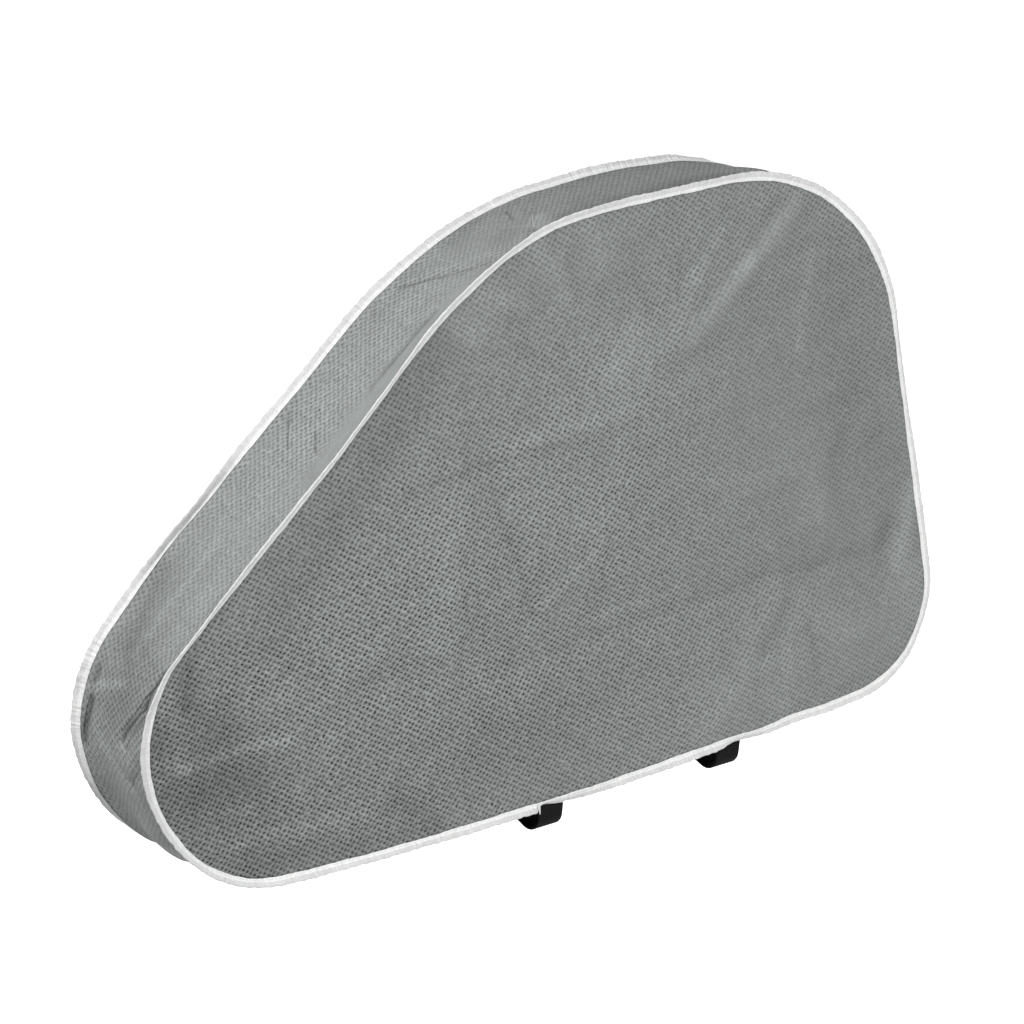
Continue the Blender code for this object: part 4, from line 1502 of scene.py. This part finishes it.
# Painted light and shade on the near panel: a darker nose, shade in hollows and valleys, light on
# lit folds, with whitening along the creases.
NEAR_WEAR_AND_SHADE = table_of(Stroke, (
    ("inside the diagonal", 0.14, 0.27, 0.34, 0.50, 0.03, -0.15),
    ("low in the nose", 0.05, 0.1, 0.12, 0.06, 0.05, -0.14),
    ("round the nose", 0.0, 0.14, 0.06, 0.12, 0.075, -0.10),
    ("away from the light", 0.88, 0.46, 0.90, 0.08, 0.15, -0.06),
    ("under the heel corner", 0.70, 0.52, 0.86, 0.5, 0.08, -0.015),
    ("nose edge", 0.046, 0.255, 0.048, 0.215, 0.011, -0.26),
    ("nose", 0.006, 0.205, 0.014, 0.165, 0.012, -0.22),
    ("nose under the crease", 0.02, 0.13, 0.11, 0.122, 0.022, -0.2),
    ("behind the nose", 0.055, 0.19, 0.085, 0.175, 0.03, -0.22),
    ("nose crease", 0.012, 0.168, 0.042, 0.15, 0.004, 0.22),
    ("end of the nose crease", 0.042, 0.15, 0.165, 0.15, 0.004, 0.18),
    ("rise from the nose crease", 0.165, 0.15, 0.3, 0.246, 0.008, 0.08),
    ("hem behind the nose", 0.11, 0.03, 0.34, 0.01, 0.015, -0.17),
    ("spot over the hem", 0.288, 0.055, 0.33, 0.022, 0.014, -0.13),
    ("band over the hem", 0.15, 0.085, 0.48, 0.07, 0.04, -0.05),
    ("strip over the hem", 0.095, 0.06, 0.255, 0.05, 0.006, 0.09),
    ("below the middle", 0.4, 0.085, 0.6, 0.11, 0.045, -0.07),
    ("flare of the heel", 0.7, 0.03, 0.96, 0.085, 0.05, 0.1),
    ("right of the flare", 0.82, 0.125, 0.9, 0.085, 0.016, 0.06),
    ("heel fold", 0.69, 0.012, 0.79, 0.145, 0.01, 0.06),
    ("third heel fold", 0.8, 0.095, 0.803, 0.01, 0.007, 0.1),
    ("hollow between them", 0.766, 0.085, 0.798, 0.132, 0.007, -0.08),
    ("small hollow", 0.83, 0.105, 0.843, 0.055, 0.007, -0.13),
    ("line at the heel", 0.895, 0.145, 0.93, 0.1, 0.0035, -0.1),
    # painted light on the flat at the caravan end and below it
    ("rubbed at the caravan end", 0.978, 0.228, 0.962, 0.14, 0.012, 0.24),
    ("below the rubbed place", 0.985, 0.13, 0.992, 0.08, 0.018, 0.12),
    ("dent beside it", 0.945, 0.2, 0.932, 0.155, 0.009, -0.16),
    ("valley to the caravan end", 0.93, 0.166, 0.7, 0.171, 0.0045, -0.085),
    ("middle of the valley", 0.7, 0.171, 0.4, 0.158, 0.0055, -0.06),
    ("light over the valley", 0.535, 0.18, 0.632, 0.184, 0.006, 0.09),
    ("swelling before the end", 0.825, 0.305, 0.835, 0.24, 0.02, 0.07),
    ("foot of the swelling", 0.835, 0.24, 0.862, 0.2, 0.015, 0.05),
    ("light beside it", 0.7, 0.297, 0.792, 0.286, 0.014, 0.08),
    ("dent by the caravan end", 0.876, 0.31, 0.869, 0.245, 0.009, -0.07),
    ("shade under the heel corner", 0.862, 0.47, 0.905, 0.38, 0.042, -0.06),
    ("lower shade", 0.885, 0.345, 0.93, 0.25, 0.026, -0.07),
    ("light streak down from it", 0.82, 0.505, 0.809, 0.415, 0.009, 0.13),
    ("crease from the heel corner", 0.802, 0.57, 0.735, 0.515, 0.01, 0.2),
    ("end of the crease", 0.735, 0.515, 0.66, 0.455, 0.012, 0.22),
    ("shade beside the crease", 0.775, 0.575, 0.665, 0.482, 0.007, -0.08),
    ("fine line over it", 0.702, 0.56, 0.665, 0.515, 0.005, 0.1),
    ("foot of the fine line", 0.665, 0.515, 0.625, 0.455, 0.011, 0.1),
    ("swelling under the crease", 0.56, 0.442, 0.59, 0.456, 0.026, 0.15),
    ("light round it", 0.61, 0.425, 0.52, 0.4, 0.026, 0.08),
    ("dark line through it", 0.652, 0.505, 0.608, 0.43, 0.0035, -0.12),
    ("streak to the middle", 0.6, 0.399, 0.425, 0.388, 0.008, 0.09),
    ("level crease", 0.55, 0.376, 0.41, 0.379, 0.0036, -0.05),
    ("end of the level crease", 0.41, 0.379, 0.31, 0.369, 0.0038, -0.06),
    ("upright crease", 0.402, 0.378, 0.432, 0.285, 0.0042, -0.08),
    ("foot of the upright crease", 0.432, 0.285, 0.459, 0.208, 0.0045, -0.11),
    ("rise from its foot", 0.472, 0.214, 0.545, 0.258, 0.0045, 0.15),
    ("light right of it", 0.46, 0.33, 0.53, 0.29, 0.03, 0.08),
    ("swelling at the left", 0.356, 0.31, 0.344, 0.2, 0.026, 0.1),
    ("pull at the left", 0.13, 0.208, 0.184, 0.27, 0.0035, 0.09),
    ("dark side of the pull", 0.137, 0.202, 0.192, 0.262, 0.0035, -0.07),
    ("shoulder fold", 0.368, 0.522, 0.394, 0.512, 0.012, 0.19),
    ("second shoulder fold", 0.402, 0.547, 0.445, 0.528, 0.011, 0.16),
    ("third shoulder fold", 0.466, 0.578, 0.502, 0.53, 0.011, 0.12),
    ("fourth shoulder fold", 0.525, 0.597, 0.548, 0.54, 0.01, 0.11),
    ("dark line at the shoulder", 0.5, 0.562, 0.517, 0.52, 0.0045, -0.1),
    ("second dark line there", 0.425, 0.562, 0.43, 0.5, 0.004, -0.08),
    ("short pull", 0.432, 0.491, 0.522, 0.428, 0.003, -0.09),
    ("second short pull", 0.46, 0.5, 0.5, 0.462, 0.003, -0.07),
))
FAR_FOLDS = table_of(Stroke, (
    ("trough over the hem", 0.90, 0.14, 0.40, 0.16, 0.060, -0.0045),
    ("crease from the heel corner", 0.82, 0.55, 0.62, 0.42, 0.030, 0.0040),
    ("belly of the cloth", 0.28, 0.26, 0.66, 0.34, 0.120, 0.0045),
))
FAR_CREASES = table_of(Stroke, (
    ("crease from the heel corner", 0.82, 0.555, 0.64, 0.440, 0.010, 0.0018, Form.STEP),
    ("fold from the shoulder", 0.40, 0.530, 0.47, 0.400, 0.012, 0.0016),
    ("upright crease", 0.56, 0.330, 0.52, 0.160, 0.010, -0.0014),
    ("heel fold", 0.88, 0.150, 0.76, 0.030, 0.014, 0.0020),
    ("second heel fold", 0.80, 0.160, 0.70, 0.040, 0.012, 0.0016),
    ("nose crease", 0.03, 0.190, 0.13, 0.150, 0.012, -0.0018),
    ("valley to the nose", 0.40, 0.170, 0.20, 0.150, 0.022, -0.0022),
))
FAR_PRESS = table_of(Stroke, (
    ("nose", 0.04, 0.12, 0.32, 0.16, 0.16, 0.30),
    ("heel corner", 0.72, 0.54, 0.90, 0.42, 0.12, -0.20),
))
# Painted light and shade on the far panel: shade in its valley, crease, nose and hem, light on its
# swelling and folds, with whitening along the creases.
FAR_WEAR_AND_SHADE = table_of(Stroke, (
    ("heel", 0.9, 0.06, 0.7, 0.03, 0.06, 0.08),
    ("crease from the heel corner", 0.82, 0.555, 0.64, 0.44, 0.011, 0.22),
    ("swelling at the middle", 0.55, 0.34, 0.5, 0.22, 0.04, 0.09),
    ("nose", 0.02, 0.2, 0.08, 0.12, 0.035, -0.14),
    ("valley over the hem", 0.9, 0.155, 0.35, 0.165, 0.006, -0.12),
    ("upright crease", 0.56, 0.33, 0.52, 0.16, 0.0045, -0.12),
    ("fold from the shoulder", 0.4, 0.53, 0.47, 0.4, 0.012, 0.14),
    ("hem", 0.12, 0.03, 0.4, 0.012, 0.016, -0.12),
))
# On the gusset and the tapes a stroke's places are (round the seam, across from the middle).
GUSSET_CREASES = table_of(Stroke, (
    ("heel corner", 1.09, -0.054, 1.11, 0.054, 0.016, -0.0025),
    ("caravan end", 1.315, -0.054, 1.285, 0.054, 0.022, 0.0025),
    ("crown of the corner", 1.56, -0.036, 1.68, 0.0, 0.034, 0.0084),
    ("top, near side", 1.78, -0.042, 1.96, -0.046, 0.02, -0.0016),
    ("shoulder", 2.035, -0.054, 2.005, 0.054, 0.018, 0.002),
    ("flat at the shoulder", 1.985, 0.018, 2.018, -0.034, 0.007, 0.0016, Form.STEP),
    ("beside the flat", 2.0, 0.036, 2.012, 0.008, 0.004, -0.0011),
    ("slack past the shoulder", 2.035, -0.012, 2.06, 0.042, 0.016, -0.002),
    ("below the shoulder", 2.142, 0.038, 2.108, 0.0, 0.0042, -0.0015),
    ("its slack", 2.11, 0.0, 2.08, -0.04, 0.009, -0.0014),
    ("line beside the near seam", 2.15, -0.034, 2.25, -0.031, 0.0035, -0.001),
    ("upright line", 2.308, 0.044, 2.34, 0.01, 0.0032, -0.0008),
    ("second upright line", 2.314, -0.006, 2.332, -0.024, 0.0028, -0.0009),
    ("third upright line", 2.422, 0.032, 2.425, -0.002, 0.003, -0.0004),
    ("long soft ridge", 2.45, 0.004, 2.585, 0.006, 0.008, 0.001),
    ("hollow at the far seam", 2.5, 0.045, 2.575, 0.02, 0.018, -0.002),
    ("edge of the diagonal", 2.563, 0.035, 2.572, -0.045, 0.007, 0.0013, Form.STEP),
    ("nose crease", 2.59, -0.046, 2.625, -0.036, 0.0045, -0.0026),
    ("middle of the nose crease", 2.625, -0.036, 2.668, -0.009, 0.0034, -0.0024),
    ("second nose crease", 2.628, -0.042, 2.675, -0.014, 0.003, -0.0018),
    ("third nose crease", 2.682, -0.038, 2.712, -0.014, 0.007, -0.002),
    ("flap by the far seam", 2.634, 0.046, 2.616, 0.004, 0.0055, 0.0018),
    ("gather at the far seam", 2.61, 0.044, 2.64, 0.044, 0.006, -0.0018),
    ("second gather there", 2.645, 0.042, 2.685, 0.049, 0.0055, -0.0022),
    ("pull across the nose", 2.67, 0.02, 2.74, -0.03, 0.006, -0.001),
    ("second pull across it", 2.7, 0.03, 2.78, -0.02, 0.007, -0.001),
    ("hollow under the nose", 2.75, 0.04, 2.795, 0.026, 0.024, -0.004),
    ("swelling under the nose", 2.786, -0.006, 2.858, 0.016, 0.028, 0.0072),
))
GUSSET_PRESS = table_of(Stroke, (
    ("upper diagonal", 2.15, 0.015, 2.3, 0.012, 0.034, 0.12),
    ("middle of the diagonal", 2.3, 0.014, 2.4, 0.005, 0.026, 0.1),
    ("smooth strip beside the near seam", 2.1, -0.043, 2.36, -0.04, 0.012, -0.6),
    ("smooth place past the shoulder", 2.01, -0.012, 2.06, 0.02, 0.026, -0.14),
    ("lower diagonal", 2.44, 0.0, 2.54, 0.0, 0.04, -0.06),
    ("nose", 2.6, 0.0, 2.66, 0.0, 0.04, 0.1),
    ("under the nose", 2.72, 0.0, 2.8, 0.0, 0.04, -0.12),
    ("top", 1.78, 0.0, 1.96, 0.0, 0.05, 0.06),
))
# Painted light and shade on the gusset: a lighter upper diagonal and underside of the nose, shade
# in its creases, gathers and along the seams, with whitening along the creases.
GUSSET_WEAR_AND_SHADE = table_of(Stroke, (
    ("upper diagonal", 2.1, 0.0, 2.42, 0.0, 0.05, 0.10),
    ("nose", 2.66, 0.0, 2.70, 0.0, 0.045, -0.10),
    ("smooth strip beside the near seam", 2.11, -0.044, 2.34, -0.04, 0.009, 0.07),
    ("line beside the near seam", 2.15, -0.034, 2.25, -0.031, 0.0026, -0.3),
    ("near side of the top", 1.74, -0.02, 1.96, -0.034, 0.016, -0.24),
    ("far side of the top", 1.8, 0.034, 1.98, 0.04, 0.018, 0.04),
    # painted light on the flat at the shoulder, with a lit edge and a shaded edge
    ("rubbed flat at the shoulder", 1.99, -0.004, 2.01, -0.024, 0.008, 0.36),
    ("its bright edge", 1.985, 0.018, 2.016, -0.03, 0.0026, 0.34),
    ("dark edge beside it", 2.0, 0.036, 2.012, 0.008, 0.0026, -0.22),
    ("shade past the shoulder", 2.034, -0.016, 2.04, -0.012, 0.012, -0.14),
    ("shade at the far seam there", 2.03, 0.044, 2.05, 0.048, 0.008, -0.14),
    ("shade at the near tape there", 1.975, -0.03, 1.995, -0.038, 0.008, -0.16),
    ("below the shoulder", 2.142, 0.038, 2.108, 0.0, 0.0024, -0.34),
    ("its slack", 2.106, -0.004, 2.078, -0.04, 0.006, -0.12),
    ("past the slack", 2.18, 0.04, 2.18, -0.03, 0.005, -0.08),
    ("upright line", 2.308, 0.044, 2.34, 0.01, 0.002, -0.18),
    ("second upright line", 2.314, -0.006, 2.332, -0.024, 0.0022, -0.24),
    ("third upright line", 2.422, 0.032, 2.425, -0.002, 0.002, -0.1),
    ("long soft ridge", 2.45, 0.004, 2.585, 0.006, 0.004, 0.16),
    ("light under the ridge", 2.49, -0.03, 2.55, -0.03, 0.014, 0.1),
    ("shade at the far seam", 2.5, 0.044, 2.575, 0.022, 0.014, -0.2),
    ("nose, from its edge", 2.585, 0.0, 2.64, 0.0, 0.03, -0.18),
    ("nose crease", 2.59, -0.046, 2.625, -0.036, 0.0024, -0.85),
    ("middle of the nose crease", 2.625, -0.036, 2.668, -0.009, 0.0019, -0.75),
    ("second nose crease", 2.628, -0.042, 2.675, -0.014, 0.0017, -0.5),
    ("light between them", 2.628, -0.0395, 2.672, -0.0115, 0.0015, 0.2),
    ("third nose crease", 2.682, -0.038, 2.712, -0.014, 0.0045, -0.28),
    ("flap by the far seam", 2.634, 0.046, 2.616, 0.004, 0.0046, 0.34),
    ("gather at the far seam", 2.61, 0.044, 2.64, 0.044, 0.004, -0.4),
    ("second gather there", 2.645, 0.042, 2.685, 0.049, 0.0036, -0.65),
    ("under the nose", 2.7, 0.0, 2.83, 0.0, 0.05, 0.5),
    # painted shadow under the far tape
    ("mark under the far tape", 2.778, 0.018, 2.784, 0.026, 0.0035, -0.6),
))
# Painted shade along the gusset's sharp creases, and a painted highlight on the shoulder's bright
# edge.
GUSSET_SHARP = table_of(Stroke, (
    ("beside the near tape", 2.588, -0.05, 2.606, -0.04, 0.0018, -0.7),
    ("nose crease", 2.602, -0.0415, 2.636, -0.0245, 0.0014, -0.6),
    ("lower nose crease", 2.634, -0.0255, 2.66, -0.007, 0.0012, -0.5),
    ("beside the nose crease", 2.612, -0.043, 2.638, -0.029, 0.0011, -0.5),
    ("its lower end", 2.636, -0.03, 2.668, -0.008, 0.0009, -0.36),
    ("small lower crease", 2.695, -0.028, 2.724, -0.006, 0.0013, -0.34),
    ("far gather", 2.638, 0.0445, 2.656, 0.047, 0.0014, -0.55),
    ("far gather's lower end", 2.654, 0.0465, 2.678, 0.05, 0.0016, -0.65),
    ("edge of the flap", 2.636, 0.045, 2.622, 0.03, 0.001, -0.3),
    ("below the shoulder", 2.141, 0.039, 2.109, 0.0, 0.0011, -0.4),
    ("its slack", 2.113, 0.003, 2.078, -0.036, 0.0011, -0.24),
    ("line beside the near seam", 2.165, -0.0345, 2.236, -0.0335, 0.0011, -0.42),
    ("upright line", 2.3, 0.047, 2.341, 0.011, 0.0010, -0.26),
    ("second upright line", 2.311, -0.002, 2.333, -0.022, 0.0011, -0.34),
    ("bright edge at the shoulder", 1.984, 0.016, 2.016, -0.03, 0.0011, 0.3),
    ("dark edge at the shoulder", 2.0, 0.034, 2.013, 0.008, 0.0011, -0.14),
))
NEAR_PUCKER = table_of(Stroke, (
    ("all round", 0.0, 0.0, 2.68, 0.0, 0.1, 0.22),
    ("hem", 0.3, 0.0, 0.95, 0.0, 0.05, 0.15),
    ("over the top", 1.7, 0.0, 1.95, 0.0, 0.05, 0.15),
))
# painted shade under the nose on the near tape
NEAR_TAPE_SHADE = table_of(Stroke, (
    ("under the nose", 0.0, 0.0, 0.03, 0.0, 0.03, -0.03),
))
FAR_PUCKER = table_of(Stroke, (
    ("all round", 0.0, 0.0, 2.68, 0.0, 0.1, 0.25),
    ("over the top", 1.72, 0.0, 1.88, 0.0, 0.04, 0.75),
    ("round the nose", 2.6, 0.0, 2.72, 0.0, 0.03, 0.6),
    ("shoulder", 2.0, 0.0, 2.2, 0.0, 0.04, 0.25),
))
# painted shade on the far tape where the light falls, lower down and under the nose
FAR_TAPE_SHADE = table_of(Stroke, (
    ("in the light", 2.05, 0.0, 2.38, 0.0, 0.06, -0.16),
    ("lower in the light", 2.50, 0.0, 2.62, 0.0, 0.03, -0.14),
    ("under the nose", 0.08, 0.0, 0.16, 0.0, 0.03, -0.25),
))


def main() -> None:
    """Build the cover and its studio."""
    logging.basicConfig(level=logging.INFO, format="%(message)s")
    panel_cloth = ClothFinish("embossed cloth of the panels", turn=-9.0).make()
    strip_cloth = ClothFinish("embossed cloth of the gusset", turn=3.0,
                              creases=GUSSET_SHARP).make()
    tape = TapeFinish().make()
    webbing = WebbingFinish().make()
    near_tape = Binding("near_binding", "binding_near", NEAR, NEAR_PUCKER, NEAR_TAPE_SHADE,
                        tape).build()
    far_tape = Binding("far_binding", "binding_far", FAR, FAR_PUCKER, FAR_TAPE_SHADE, tape,
                       foot_away=-0.0006, shift=1.7).build()
    near_panel = SidePanel("near_panel", "side_panel_near", NEAR, NEAR_FOLDS, NEAR_CREASES,
                           NEAR_PRESS, NEAR_WEAR_AND_SHADE, panel_cloth).build()
    far_panel = SidePanel("far_panel", "side_panel_far", FAR, FAR_FOLDS, FAR_CREASES, FAR_PRESS,
                          FAR_WEAR_AND_SHADE, panel_cloth, crumple=Crumple(seed=5.0)).build()
    strip = Gusset(strip_cloth, GUSSET_CREASES, GUSSET_PRESS, GUSSET_WEAR_AND_SHADE).build()
    nose_strap = Strap("nose_strap", "strap_nose", 0.4925, 0.047, webbing)
    heel_strap = Strap("heel_strap", "strap_heel", 0.7328, 0.043, webbing)
    Gusset.length()
    for strap in (nose_strap, heel_strap):
        strap.build()
        strap.route().length
    Studio().build()


if __name__ == "__main__":
    main()
